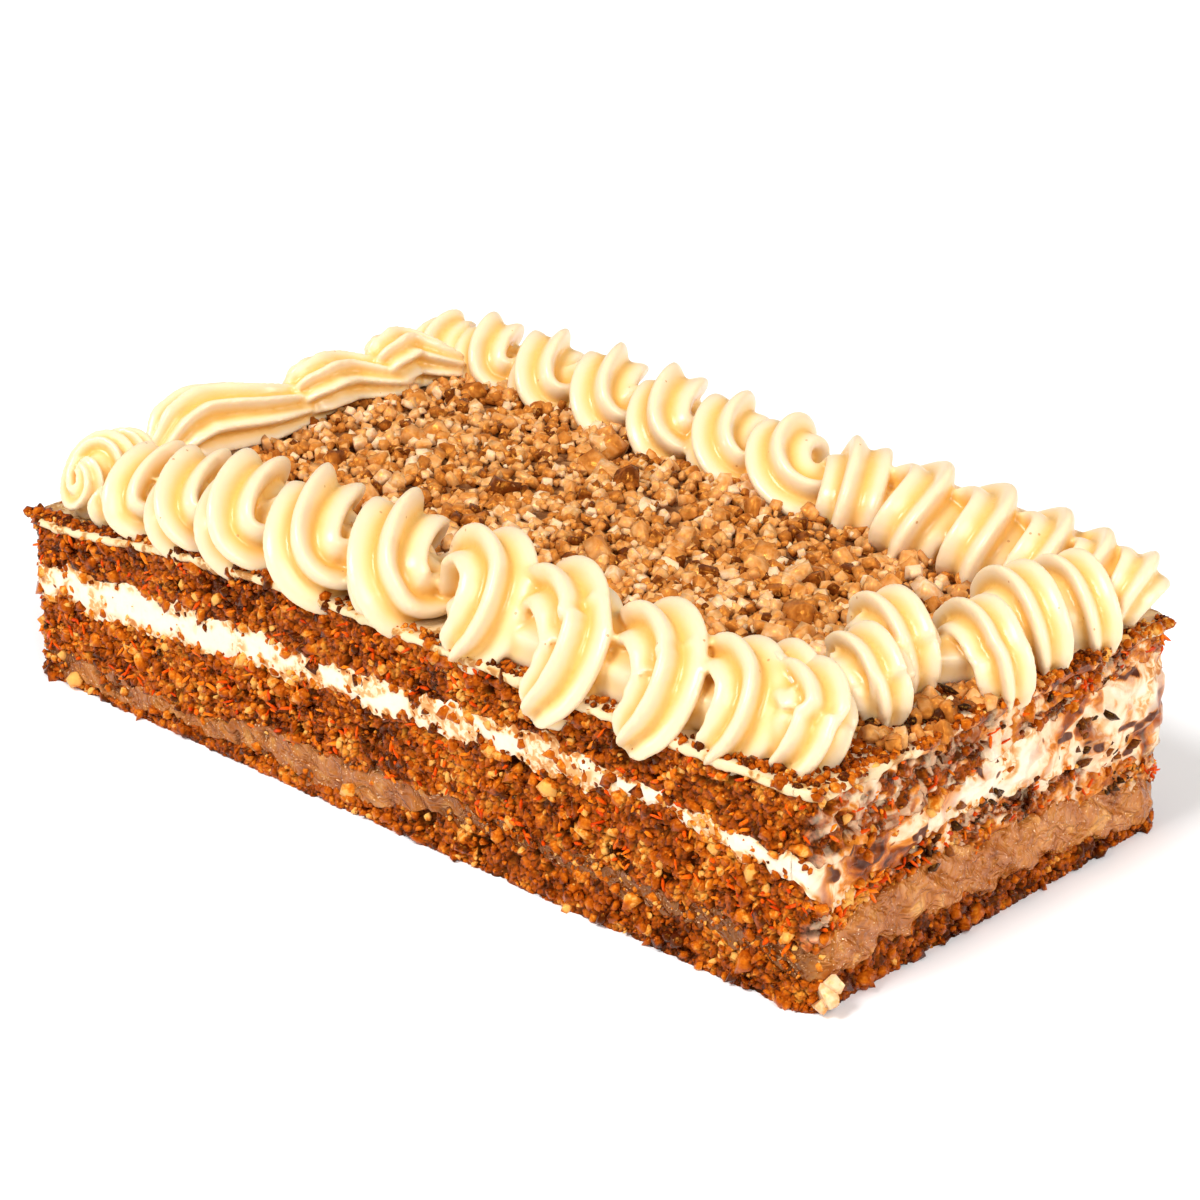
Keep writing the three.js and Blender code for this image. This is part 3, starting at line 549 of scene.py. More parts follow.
def creamRelief(run, z, side, share):
    # smooth, with upright knife strokes, tan at its edges that is partly crumb smeared in and partly painted
    # shade along the joins with the layers, and waves where it is stirred on the right side, towards whose
    # far end it swells out
    strokes = wallWaves(run, z * 0.25, 1.5, 90) * 0.12 + wallWaves(run, z * 0.5, 6.0, 91) * 0.35
    onRight = between(side, 1.0, 1.03, 1.98, 2.02)
    reach = 0.5 + strokes + 1.6 * between(side, 1.6, 1.9, 1.97, 2.03) * np.sin(np.pi * share)
    reach = reach + onRight * (1.1 * wallWaves(run, z, 5.4, 95) + 0.7 * wallWaves(run, z * 1.5, 2.5, 96))
    edge = 1 - smooth(np.minimum(share, 1 - share), 0.03, 0.3) + 0 * z
    patch = covered(run, z, side, "cream")
    flecks = smooth(wallWaves(run, z, 2.0, 94), 0.62, 0.8)
    # the tan at both edges is partly crumb smeared in and partly painted shade along the joins with the
    # layers
    tan = np.clip(edge * (0.6 + 0.7 * wallWaves(run, z, 3.0, 97)) + 0.7 * patch + 0.3 * flecks, 0, 1)
    dark = onRight * smooth(wallWaves(run, z * 1.6, 7.5, 98) + 0.4 * wallWaves(run, z, 2.5, 99), 0.66, 0.9)
    return reach - 0.35 * edge, 0 * z, {"tan": tan * 0.9, "dark": dark, "right": rightSide(side)}


def caramelRelief(run, z, side, share):
    # full and glossy on the right side with drawn-up ripples, thinner and darker under crumb along the front
    onRight = between(side, 1.0, 1.04, 1.95, 2.0)
    leaning = run + 1.4 * z
    ripples = wallWaves(leaning, z * 0.45, 5.0, 101) * 1.2 + wallWaves(leaning, z * 0.7, 2.2, 102) * 0.65
    reach = 0.3 + onRight * (1.1 * np.sin(np.pi * share) ** 0.6 + ripples) + (1 - onRight) * 0.45 * ripples
    hidden = covered(run, z, side, "caramel")
    return reach - 0.8 * hidden, 0 * z, {"dark": np.clip(0.7 * hidden + 0.3 * (1 - onRight), 0, 0.8)}


def icingRelief(run, z, side, share):
    # thin film whose edge runs in small scallops over the crumb, tan except where it shows bare
    scallop = 0.6 * wallWaves(run, 0 * z, 6.0, 111) + 0.4 * wallWaves(run, 0 * z, 2.5, 112)
    edge = np.sin(np.pi * np.clip(share, 0, 0.95)) ** 0.5
    bare = smooth(side, 0.62, 0.72) * (side < 0.99) + (side < 0.05)
    tan = smooth(wallWaves(run, z, 4.0, 113) + 0.3 * scallop - 0.5 * bare, -0.35, 0.25)
    drop = -0.5 * (1 - share) * smooth(scallop, 0, 0.6)
    return 0.1 + 0.8 * edge + 0.5 * scallop, drop, {"tan": tan, "dark": 0 * z, "right": rightSide(side)}


# Each layer: piece, node, slot, the boundaries below and above it, relief and material
layers = (
    ("bottomSponge", "bottom_sponge", "sponge", "base", "sponge", spongeRelief(11, 0.10, 0),
     spongeLook("bottomCrumb", 0.34)),
    ("caramelFilling", "caramel_filling", "caramel", "sponge", "caramel", caramelRelief, caramelMaterial()),
    ("middleSponge", "middle_sponge", "sponge", "caramel", "middle", spongeRelief(13),
     spongeLook("middleCrumb")),
    ("creamFilling", "cream_filling", "cream", "middle", "cream", creamRelief, fillingLook),
    ("topSponge", "top_sponge", "sponge", "cream", "icing", spongeRelief(15, 0.05), spongeLook("topCrumb")),
    ("topIcing", "top_icing", "icing", "icing", "top", icingRelief, icingLook),
)
for name, target, slot, low, high, relief, look in layers:
    points, faces, values = wallGrid(low, high, relief)
    place(makeMesh(name, points, faces, look, True, **values), slot, target)
print("layers done")


# Loose pieces: one rough ball of 20 faces, jittered, sized, turned and moved for each piece
goldenCut = (1 + 5 ** 0.5) / 2
ballCorners = np.array([[-1, goldenCut, 0], [1, goldenCut, 0], [-1, -goldenCut, 0], [1, -goldenCut, 0],
                        [0, -1, goldenCut], [0, 1, goldenCut], [0, -1, -goldenCut], [0, 1, -goldenCut],
                        [goldenCut, 0, -1], [goldenCut, 0, 1], [-goldenCut, 0, -1], [-goldenCut, 0, 1]]) / 1.9
ballFaces = np.array([[0, 11, 5], [0, 5, 1], [0, 1, 7], [0, 7, 10], [0, 10, 11], [1, 5, 9], [5, 11, 4],
                      [11, 10, 2], [10, 7, 6], [7, 1, 8], [3, 9, 4], [3, 4, 2], [3, 2, 6], [3, 6, 8],
                      [3, 8, 9], [4, 9, 5], [2, 4, 11], [6, 2, 10], [8, 6, 7], [9, 8, 1]])


def turns(rng, count, wild=1.0):
    # random turns from unit quaternions; a smaller wild keeps the pieces nearly flat
    q = rng.normal(size=(count, 4)) * [1, wild, wild, 1]
    q /= np.linalg.norm(q, axis=1)[:, None]
    w, x, y, z = q.T
    return np.stack([1 - 2 * (y * y + z * z), 2 * (x * y - w * z), 2 * (x * z + w * y),
                     2 * (x * y + w * z), 1 - 2 * (x * x + z * z), 2 * (y * z - w * x),
                     2 * (x * z - w * y), 2 * (y * z + w * x), 1 - 2 * (x * x + y * y)], -1).reshape(-1, 3, 3)


def scatter(rng, shape, faces, places, sizes, jitter, spins, tones):
    # every piece is turn x (shape x jitter x size) + place
    count = len(places)
    body = shape[None] * (1 + jitter * rng.uniform(-1, 1, (count, len(shape), 3))) * sizes[:, None, :] / 2
    points = np.einsum("nij,nkj->nki", spins, body) + places[:, None]
    quads = (faces[None] + (np.arange(count) * len(shape))[:, None, None]).reshape(-1, faces.shape[1])
    return points.reshape(-1, 3), quads, np.repeat(tones, len(shape))


def ballPieces(rng, name, look, spots, sizes, jitter, spins, tones, shade=True):
    # many roundish pieces in one mesh, none of them below the floor
    points, faces, tone = scatter(rng, ballCorners, ballFaces, spots, sizes, jitter, spins, tones)
    points[:, 2] = np.maximum(points[:, 2], 0)
    place(makeMesh(name, points, faces, look, shade, tone=tone), "sponge")


def crumbForm(rng, count):
    # length, width and height of crumbs as shares of their size
    return rng.uniform([0.7, 0.55, 0.45], [1.1, 0.95, 0.8], (count, 3))


def onWall(rng, count, low, high, sides, sink, over=(0, 1)):
    # random places on the cut sides between two boundaries, each side with its own share
    weight = np.zeros(len(rimSide))
    for k in range(4):
        weight[np.floor(rimSide) == k] = sides[k]
    weight *= np.linalg.norm(np.roll(rimXY, -1, 0) - rimXY, axis=1)
    pick = rng.choice(len(rimSide), count, p=weight / weight.sum())
    xy, out, run, side = rimXY[pick], rimOut[pick], rimRun[pick], rimSide[pick]
    bottom, top = heights(low, run, side, xy), heights(high, run, side, xy)
    z = bottom + (top - bottom) * rng.uniform(*over, count)
    reach = rng.uniform(-sink, 0.25, count)
    return columns([xy + out * reach[:, None], z]), run, side


# Crumbs on each layer: its boundaries, how many are drawn, how much darker they are, where they lie between
# the boundaries and how large they are
crumbs = {
    "creamFilling": ("middle", "cream", 3600, -0.1, (0, 1), 0.75),
    "caramelFilling": ("sponge", "caramel", 1800, 0.0, (0, 1), 0.75),
    "bottomSponge": ("base", "sponge", 1700, 0.14, (0, 1), 1),
    "middleSponge": ("caramel", "middle", 3600, 0.0, (0, 1.16), 1),
    "topSponge": ("cream", "icing", 2700, 0.07, (-0.16, 1.12), 1),
}
crumbWide = {"mean": 0.78, "spread": 0.52, "least": 0.8, "most": 7}   # the first two of its logarithm
for name, (low, high, count, dark, over, size) in crumbs.items():
    rng = np.random.default_rng(len(name) * 7 + count)
    spots, run, side = onWall(rng, count, low, high, (1, 1, 0.75, 0.75), 0.9, over)
    mixed = name != "bottomSponge"
    draw = rng.uniform(size=count)
    if name == "creamFilling":
        keep = draw < 0.8 * covered(run, spots[:, 2], side, "cream") + 0.08
    elif name == "caramelFilling":
        keep = draw < covered(run, spots[:, 2], side, "caramel") + 0.03
    else:
        keep = draw > 0.75 * smears(run, spots[:, 2], side) * mixed
    keep &= rng.uniform(size=count) > 0.72 * rightSide(side) * mixed
    spots, run, side = spots[keep], run[keep], side[keep]
    if name == "bottomSponge":
        spots[:, 2] = np.maximum(spots[:, 2], 1.3)
    count = len(spots)
    wide = rng.lognormal(crumbWide["mean"], crumbWide["spread"], count)
    wide = np.clip(wide, crumbWide["least"], crumbWide["most"]) * size
    sizes = wide[:, None] * crumbForm(rng, count)
    tones = rng.normal(0.5 - dark * (1 + 1.5 * rightSide(side)), 0.28, count)
    tones = np.clip(tones + 0.2 * wallWaves(run, spots[:, 2], 12.0, 140), 0, 1)
    ballPieces(rng, name + "Crumbs", crumbLook, spots, sizes, 0.45, turns(rng, count), tones)

loose = {
    "carrot": {"look": carrotLook, "count": 1000,
               "layers": (("caramel", "middle", 0.6), ("cream", "icing", 0.4)), "sides": (1, 0.7, 0.8, 0.8),
               "long": (2.2, 6.0), "wide": (0.8, 1.6), "shade": True},
    "dark": {"look": darkLook, "count": 170,
             "layers": (("caramel", "middle", 0.55), ("cream", "icing", 0.45)), "sides": (1, 0.25, 0.8, 0.8),
             "long": (1.5, 4.0), "wide": (1.0, 2.0), "shade": False},
}
for kind, values in loose.items():
    rng = np.random.default_rng(500 + len(kind))
    spots = np.concatenate([onWall(rng, int(values["count"] * share), low, high, values["sides"], 0.0)[0]
                            for low, high, share in values["layers"]])
    count = len(spots)
    sizes = columns([rng.uniform(*values["long"], count), rng.uniform(*values["wide"], count),
                             rng.uniform(*values["wide"], count) * 0.8])
    ballPieces(rng, kind + "Bits", values["look"], spots, sizes, 0.2, turns(rng, count),
               rng.uniform(0, 1, count), values["shade"])
print("crumb done")


# Chopped walnuts on the icing
nuts = {
    "bed": [(-122, -48), (98, -40.5), (99, 41), (-117, 54)],   # plan corners just inside the piping
    "count": 4480, "sizes": (2.1, 5.5),
    "large": 60, "largeSizes": (5.5, 8.5),
    "cut": 0.68,             # where the corners of each piece are cut, from its middle to its side
    "wild": 0.75,            # how freely the pieces are turned: 0 leaves them level
    "thick": 3.2,            # depth of the heap
    "ground": (200, 90),     # points along and across the ground under the pieces
}


def bevelledBox():
    # a box whose corners are cut: 24 points in 6 faces, 12 edge strips and 8 corner triangles
    points, faces, index, cut = [], [], {}, nuts["cut"]
    for axis in range(3):
        a, b = (axis + 1) % 3, (axis + 2) % 3
        for sign in (-1, 1):
            ring = []
            for p, q in ((-1, -1), (1, -1), (1, 1), (-1, 1)):
                spot = [0, 0, 0]
                spot[axis], spot[a], spot[b] = sign, p * cut, q * cut
                signs = [0, 0, 0]
                signs[axis], signs[a], signs[b] = sign, p, q
                index[(axis, *signs)] = len(points)
                ring.append(len(points))
                points.append(spot)
            faces.append(ring if sign > 0 else ring[::-1])
    for axis in range(3):
        a, b = (axis + 1) % 3, (axis + 2) % 3
        for p in (-1, 1):
            for q in (-1, 1):
                low, high = [0, 0, 0], [0, 0, 0]
                low[axis], high[axis] = -1, 1
                low[a] = high[a] = p
                low[b] = high[b] = q
                strip = [index[(a, *low)], index[(a, *high)], index[(b, *high)], index[(b, *low)]]
                faces.append(strip if p * q < 0 else strip[::-1])
    tips = []
    for x in (-1, 1):
        for y in (-1, 1):
            for z in (-1, 1):
                tip = [index[(k, x, y, z)] for k in range(3)]
                tips.append(tip if x * y * z > 0 else tip[::-1])
    return np.array(points, float), np.array(faces), np.array(tips)


nutShape, nutFaces, nutTips = bevelledBox()


def bedSpot(u, v):
    # plan place in the walnut bed, bilinear between its corners
    a, b, c, d = (np.array(corner, float) for corner in nuts["bed"])
    front = a[None] * (1 - u)[:, None] + b[None] * u[:, None]
    back = d[None] * (1 - u)[:, None] + c[None] * u[:, None]
    return front * (1 - v)[:, None] + back * v[:, None]


def nutPieces(rng, spots, sizes, wild, tones, name):
    # scattered boxes with cut corners, whose corner triangles are added
    spins = turns(rng, len(spots), wild)
    points, quads, tone = scatter(rng, nutShape, nutFaces, spots, sizes, 0.3, spins, tones)
    tips = (nutTips[None] + (np.arange(len(spots)) * len(nutShape))[:, None, None]).reshape(-1, 3)
    return makeMesh(name, points, [quads, tips], walnutLook, True, tone=tone)


def heap(x, y):
    # depth of the walnuts, in slow waves
    return nuts["thick"] * (0.8 + 0.4 * waves(x, y, 16.0, 121) + 0.35 * waves(x, y, 6.0, 122))


def walnutCore():
    # brown ground under the pieces, darker than them as painted shade in the gaps between them: a height grid
    # over the bed with its rim let down into the icing
    long, deep = nuts["ground"]
    u, v = (g.ravel() for g in np.meshgrid(np.linspace(-0.04, 1.04, long), np.linspace(-0.1, 1.1, deep)))
    xy = bedSpot(u, v)
    gap, tone, lean = grains(*xy.T, 3.0, 131)[1:4]
    top = topHeight(*xy.T)
    z = top + 0.35 * heap(*xy.T) + 0.7 * (lean - 0.5) - 0.6 * (1 - smooth(gap, 0, 0.3))
    edge = (u < -0.035) | (u > 1.035) | (v < -0.09) | (v > 1.09)
    z[edge] = top[edge] - 1.5
    i, j = np.meshgrid(np.arange(long - 1), np.arange(deep - 1))
    first = (j * long + i).ravel()
    quads = columns([first, first + 1, first + long + 1, first + long])
    # painted shade: these browns are darker than the pieces, so the gaps between pieces read as shade
    stops = [(0.0, (0.10, 0.032, 0.01)), (0.5, (0.26, 0.105, 0.035)), (1.0, (0.48, 0.25, 0.09))]
    material = pieceLook("walnutGround", stops, rough=0.3, specular=0.6)
    return makeMesh("walnutGround", columns([xy, z]), quads, material, True, tone=tone * 0.8)


def walnutHeap():
    # pieces at random places through the depth of the heap, with painted shade that makes them darker the
    # deeper they lie, with some large ones on it
    rng = np.random.default_rng(41)
    count = nuts["count"]
    u, v = rng.uniform(-0.035, 1.085, count), rng.uniform(-0.1, 1.1, count)
    xy = bedSpot(u, v)
    wide = rng.uniform(*nuts["sizes"], count) * rng.uniform(0.7, 1, count)
    sizes = wide[:, None] * rng.uniform([0.75, 0.6, 0.5], [1.1, 0.9, 0.8], (count, 3))
    layer = rng.uniform(0.15, 1.0, count) ** 0.8
    z = topHeight(*xy.T) + heap(*xy.T) * layer + 0.25 * sizes[:, 2]
    # painted shade: the deeper a piece lies in the heap, the darker its tone
    tones = np.clip(0.38 + 0.34 * layer + rng.normal(0, 0.2, count), 0, 1)
    tones[rng.uniform(size=count) < 0.07] = 0.05
    big = np.arange(nuts["large"])
    form = rng.uniform(*nuts["largeSizes"], (len(big), 1))
    sizes[big] = form * rng.uniform([0.9, 0.7, 0.5], [1.1, 0.9, 0.7], (len(big), 3))
    z[big] += 0.8
    return nutPieces(rng, columns([xy, z]), sizes, nuts["wild"], tones, "walnutPieces")


place(walnutCore(), "walnuts", "walnut_topping")
place(walnutHeap(), "walnuts")

# Walnut bits on the ledge at the right end, and one at the foot of the near corner
ledge = {
    "count": 64, "across": (130, 147), "deep": (-44, 12), "over": (0.2, 2.2),
    "sizes": (2.5, 6.5), "wild": 0.8,
    "foot": [(148.6, -69.6, 5.5), (149.2, -68.2, 8.5), (148.0, -71.4, 3.0)],
    "footSizes": [(4.4, 4.2, 7.0), (3.6, 3.2, 4.0), (3.4, 3.0, 3.6)],
    "footTones": [0.9, 0.95, 0.8],
}
rng = np.random.default_rng(77)
count = ledge["count"]
spots = columns([rng.uniform(*ledge["across"], count), rng.uniform(*ledge["deep"], count)])
spots = columns([spots, topHeight(*spots.T) + rng.uniform(*ledge["over"], count)])
sizes = rng.uniform(*ledge["sizes"], (count, 1)) * rng.uniform([0.8, 0.5, 0.5], [1.1, 0.8, 0.8], (count, 3))

ledgeCrumbs = {
    "fields": ((1300, (117, 147.5), (-73, 14)), (250, (141, 147.0), (14, 70))),   # count, across and deep
    "front": 950, "frontDeep": (0.2, 5.0),     # along the front edge, more of them to the left
    "over": (-0.7, 0.8),
}
fields = [columns([rng.uniform(*across, number), rng.uniform(*deep, number)])
          for number, across, deep in ledgeCrumbs["fields"]]
along = rng.uniform(0, 1, (ledgeCrumbs["front"], 1)) ** 1.5
inside = rng.uniform(*ledgeCrumbs["frontDeep"], (ledgeCrumbs["front"], 1))
fields.append(corners[0, :2] + along * (corners[1, :2] - corners[0, :2]) + [[0, 1]] * inside)
crumbSpots = np.concatenate(fields)
count = len(crumbSpots)
level = topHeight(*crumbSpots.T) + rng.uniform(*ledgeCrumbs["over"], count)
crumbSpots = columns([crumbSpots, level])
wide = np.clip(rng.lognormal(0.75, 0.4, count), 0.8, 5)
ballPieces(rng, "ledgeCrumbs", crumbLook, crumbSpots, wide[:, None] * crumbForm(rng, count), 0.35,
           turns(rng, count), np.clip(rng.normal(0.38, 0.3, count), 0, 1))

raisins = {
    # nests on the right side: place from the near corner, height, and how far they spread both ways
    "nests": [(48, 30, 4, 6), (60, 36, 6, 4), (74, 33, 5, 5), (101, 37, 6, 6), (109, 45, 4, 4),
              (121, 32, 4, 5), (126, 21, 3, 4)],
    "count": 100, "sideLong": 146.5, "levels": (14, 44),
    "onLedge": 30, "ledgeBox": ((126, 145), (-40, -6), (62, 65)),
    "sizes": (1.5, 5.5),
}
count = raisins["count"]
nest = np.array(raisins["nests"])[rng.integers(0, len(raisins["nests"]), count)]
across = nest[:, 0] + rng.normal(size=count) * nest[:, 2]
level = nest[:, 1] + rng.normal(size=count) * nest[:, 3] * 0.6
spot = np.argmin(np.abs(rimSide[None] - 1 - across[:, None] / raisins["sideLong"]), 1)
onSide = columns([rimXY[spot] + rimOut[spot] * rng.uniform(-1.2, 0.7, (count, 1)),
                          np.clip(level, *raisins["levels"])])
onLedge = columns([rng.uniform(*ends, raisins["onLedge"]) for ends in raisins["ledgeBox"]])
raisinSpots = np.concatenate([onSide, onLedge])
count = len(raisinSpots)
raisinSizes = rng.uniform(*raisins["sizes"], (count, 1))
raisinSizes = raisinSizes * rng.uniform([0.8, 0.3, 0.3], [1.5, 0.8, 0.8], (count, 3))
ballPieces(rng, "raisins", darkLook, raisinSpots, raisinSizes, 0.35, turns(rng, count),
           rng.uniform(0, 1, count))

tones = np.concatenate([rng.uniform(0.3, 1, len(spots)), ledge["footTones"]])
spots, sizes = np.concatenate([spots, ledge["foot"]]), np.concatenate([sizes, ledge["footSizes"]])
place(nutPieces(rng, spots, sizes, ledge["wild"], tones, "ledgeWalnuts"), "walnuts")
print("walnuts done")


# Piped cream. A list holds one value for each loop start.
frontRow = {
    "ends": (0, 1), "facing": -1,
    "starts": [40, 64, 87, 118, 148, 165],
    "inward": [17, 15, 15, 14, 16, 20],
    "across": [8, 9, 9.5, 10, 10, 9],
    "along": [0, 0, 0, 0, 1, 1],
    "lift": [4, 5, 6, 6, 7, 7],
    "base": [8, 9, 10, 10, 10, 8],
    "radius": [11, 11.5, 12, 12.5, 12.5, 11],
    "turnAt": 9, "before": 1.0, "stop": 4.4,
}
frontArches = {
    "ends": (0, 1),
    "starts": [171, 200, 232, 258, 277],
    "inward": [13, 12, 12.5, 14, 17],
    "base": [14.5, 13.5, 12, 11, 10.5],
    "leg": [1, 1.3, 1.15, 1, 0.9],
    "radius": [12.2, 12.2, 12, 11, 10.4],
    # along, inwards and up from the middle of a loop whose strand is 12 mm thick to its centre
    "shape": [(-8, 7, -7), (-4, 7, 1), (3, 5, 4), (10, 1, 2), (12.5, -4, -3.5), (11, -7, -9), (8, -9, -13)],
}
backRow = {
    "ends": (3, 2), "facing": 1,
    "starts": [6, 26, 52, 80, 108, 134, 158, 184, 208, 232, 252, 268, 280],
    "inward": [18, 14, 13, 12.5, 13, 14, 13, 12, 14, 14, 13, 12.5, 13],
    "across": [7, 7, 7.5, 8, 8, 7.5, 7.5, 8, 8.5, 8, 7, 6, 5],
    "along": [0, 0, 0, 0, 1, 2, 4, 5, 5, 5, 5, 4, 3], "lift": 4.6,
    "base": [4, 4, 5, 6.5, 6.5, 6.5, 6, 6.5, 8, 8.5, 8.5, 8, 8],
    "radius": [10, 10.5, 11, 11.5, 11.5, 11, 11, 11, 11.5, 11, 10, 9.5, 9],
    "turnAt": 6.6, "before": 0.4,
}
rightArches = {
    "ends": (1, 2),
    "starts": [24, 45, 63, 81, 101, 121],
    "inward": [30, 22, 29, 14, 17, 15],
    "base": [9.5, 10, 11.5, 9, 10.5, 9],
    "leg": [1, 0.75, 0.8, 1.1, 1, 1],
    "radius": [9.8, 9.6, 10.2, 9.6, 10.2, 9.6],
    "shape": [(6, 13, -9), (5, 12, -1), (3, 6, 4), (0, -2, 4.5), (-3, -9, 0), (-4, -12, -6),
              (-4, -12.5, -10)],
}
cornerCurls = {
    "ends": (0, 3), "facing": 1,
    "starts": [12, 21, 29],
    "inward": [14, 13, 13],
    "across": [4, 5, 4],
    "along": 3, "lift": 5,
    "base": [11, 11, 9],
    "radius": [6.5, 7, 6.5],
    "turnAt": -2, "before": 0.2,
}
leftShells = {
    # start and end along the edge, how far inside it they start and end, and the radius
    "ranges": [(40, 98, 14, 18, 12.5), (88, 130, 14, 19, 10.5), (120, 150, 13, 21, 10.5)],
    "at": [0, 0.1, 0.24, 0.42, 0.62, 0.82, 1],
    "wide": [0.66, 0.92, 1, 0.94, 0.8, 0.6, 0.34],
    "up": [0.75, 0.95, 1, 0.86, 0.68, 0.5, 0.32],
    "sway": 1.3, "ridges": 9, "groove": 0.34,
}
star = {
    "ridges": 6, "groove": 0.46, "power": 1.8, "backGroove": 0.38, "plainGroove": 0.1,
    "sides": 120, "cap": 8,                    # points round a strand, and rings in its round ends
    "voxel": 0.8,                              # size of the skin's grid in millimetres
    "settle": 1, "slow": 14, "even": 2,        # rounds of averaging: skin, its slow form and the painted valley shade
    "link": 0.7, "linkHeight": 5, "core": 0.66, "coreDrop": 2.5,   # plain strands inside the rows
}


def edgeWay(ends):
    # where an edge of the cake starts, its direction, and the direction across it
    a, b = corners[ends[0], :2], corners[ends[1], :2]
    along = (b - a) / np.linalg.norm(b - a)
    return a, along, np.array([along[1], -along[0]])


def rowPath(row, fine=48):
    # the strand swings out and back once in each loop and rises where it crosses itself
    def at(key):
        # the row's value at each step: joined by straight lines between the loop starts, or one for all
        value = row[key]
        return np.interp(u, np.arange(len(row["starts"])), value) if np.ndim(value) else value
    a, along, out = edgeWay(row["ends"])
    last = row.get("stop", len(row["starts"]) - 1)
    u = np.arange(int((last + row["before"]) * fine) + 1) / fine - row["before"]
    phase = 2 * np.pi * u
    turn = np.clip(2.5 * (u - row["turnAt"]), -1, 1)
    run = at("starts") + np.minimum(u, 0) * 12 - at("along") * turn * np.sin(phase)
    sway = row["facing"] * at("inward") + at("across") * np.cos(phase)
    xy = a + along * run[:, None] + out * sway[:, None]
    rise = -at("lift") * (0.35 * np.cos(phase) + 0.94 * np.sin(phase))
    z = topHeight(xy[:, 0], xy[:, 1]) + at("base") + rise
    ends = np.minimum(1, np.minimum(0.7 + 0.9 * (u + row["before"]), 0.7 + 0.9 * (last - u)))
    return columns([xy, z]), at("radius") * ends


def corePath(row):
    # the straight middle of a row, which fills the room between its loops
    path, radius = rowPath(dict(row, across=0.01, along=0, lift=0))
    return path - [0, 0, star["coreDrop"]], star["core"] * radius


def archPaths(row):
    # each loop follows a smooth curve through the shape's places, from behind over the top to a tip outside
    a, along, out = edgeWay(row["ends"])
    knots = np.array(row["shape"], float)
    knots = np.concatenate([[2 * knots[0] - knots[1]], knots, [2 * knots[-1] - knots[-2]]])
    share = np.linspace(0, 1, 80)
    spot = share * (len(knots) - 3)
    first = np.minimum(spot.astype(int), len(knots) - 4)
    t = (spot - first)[:, None]
    p, q, r, w = (knots[first + k] for k in range(4))
    curve = q + 0.5 * ((r - p) * t + (2 * p - 5 * q + 4 * r - w) * t ** 2 + (3 * q - p - 3 * r + w) * t ** 3)
    paths = []
    loops = zip(*(row[key] for key in ("starts", "inward", "base", "leg", "radius")))
    for start, inward, base, leg, size in loops:
        step = curve * size / 12
        step = step * np.where(step[:, 2:] < 0, leg, 1)
        middle = a + along * start - out * inward
        xy = middle + along * step[:, :1] - out * step[:, 1:2]
        radius = size * np.interp(share, [0, 0.15, 0.4, 0.8, 1], [0.7, 0.88, 1, 0.94, 0.76])
        paths.append((columns([xy, topHeight(*middle) + base + step[:, 2]]), radius))
    return paths


def linkPath(row):
    # a plain strand through the feet of the arches, so that they stand as one row
    a, along, out = edgeWay(row["ends"])
    spot = np.linspace(0, 1, 80) * (len(row["starts"]) - 1)
    number = np.arange(len(row["starts"]))
    run, inside, radius = (np.interp(spot, number, row[key]) for key in ("starts", "inward", "radius"))
    xy = a + along * run[:, None] - out * inside[:, None]
    return columns([xy, topHeight(*xy.T) + star["linkHeight"]]), star["link"] * radius


def pathFrames(path):
    # directions across a path that turn with it and never twist round it
    tangent = np.gradient(path, axis=0)
    tangent /= np.linalg.norm(tangent, axis=1)[:, None]
    normals = [np.array([0, 0, 1.0])]
    for t in tangent:
        n = normals[-1] - (normals[-1] @ t) * t
        normals.append(n / np.linalg.norm(n))
    normal = np.array(normals[1:])
    return tangent, normal, np.cross(tangent, normal)


def shellPath(values):
    # a pulled shell runs along the left side with a slight sway, fat at first, drawn out to a thin tail
    start, end, insideStart, insideEnd, size = values
    share = np.linspace(0, 1, 60)
    a, along, inward = edgeWay((0, 3))
    run = start + (end - start) * share
    sway = leftShells["sway"] * np.sin(10 * share + start)
    inside = insideStart + (insideEnd - insideStart) * share ** 2 + sway
    xy = a + along * run[:, None] + inward * inside[:, None]
    wide, up = (np.interp(share, leftShells["at"], leftShells[k]) for k in ("wide", "up"))
    return columns([xy, topHeight(*xy.T) + size * up]), size * wide


def sweepStar(path, radius, groove=star["groove"], ridges=star["ridges"]):
    # a star section, 1 - groove * |sin|^power round it, carried along the path, with round ends
    tangent, normal, side = pathFrames(path)
    sides, cap = star["sides"], star["cap"]
    angle = np.linspace(0, 2 * np.pi, sides, endpoint=False)
    section = 1 - groove * np.abs(np.sin(ridges * angle / 2)) ** star["power"]
    ring = section[None, :, None] * (np.cos(angle)[None, :, None] * normal[:, None]
                                     + np.sin(angle)[None, :, None] * side[:, None])
    body = path[:, None] + radius[:, None, None] * ring
    swell = (np.pi / 2 * np.arange(1, cap) / cap)[:, None, None]
    reach = 0.7 * np.sin(swell)
    width = np.cos(swell) * section[None, :, None] ** (1.6 * np.sin(swell))
    start = path[0] - radius[0] * (reach * tangent[0] - width * ring[0])
    end = path[-1] + radius[-1] * (reach * tangent[-1] + width * ring[-1])
    tips = [path[0] - 0.55 * radius[0] * tangent[0], path[-1] + 0.55 * radius[-1] * tangent[-1]]
    points = np.concatenate([start[::-1].reshape(-1, 3), body.reshape(-1, 3), end.reshape(-1, 3), tips])
    return points, tubeFaces(len(path) + 2 * (cap - 1), sides)


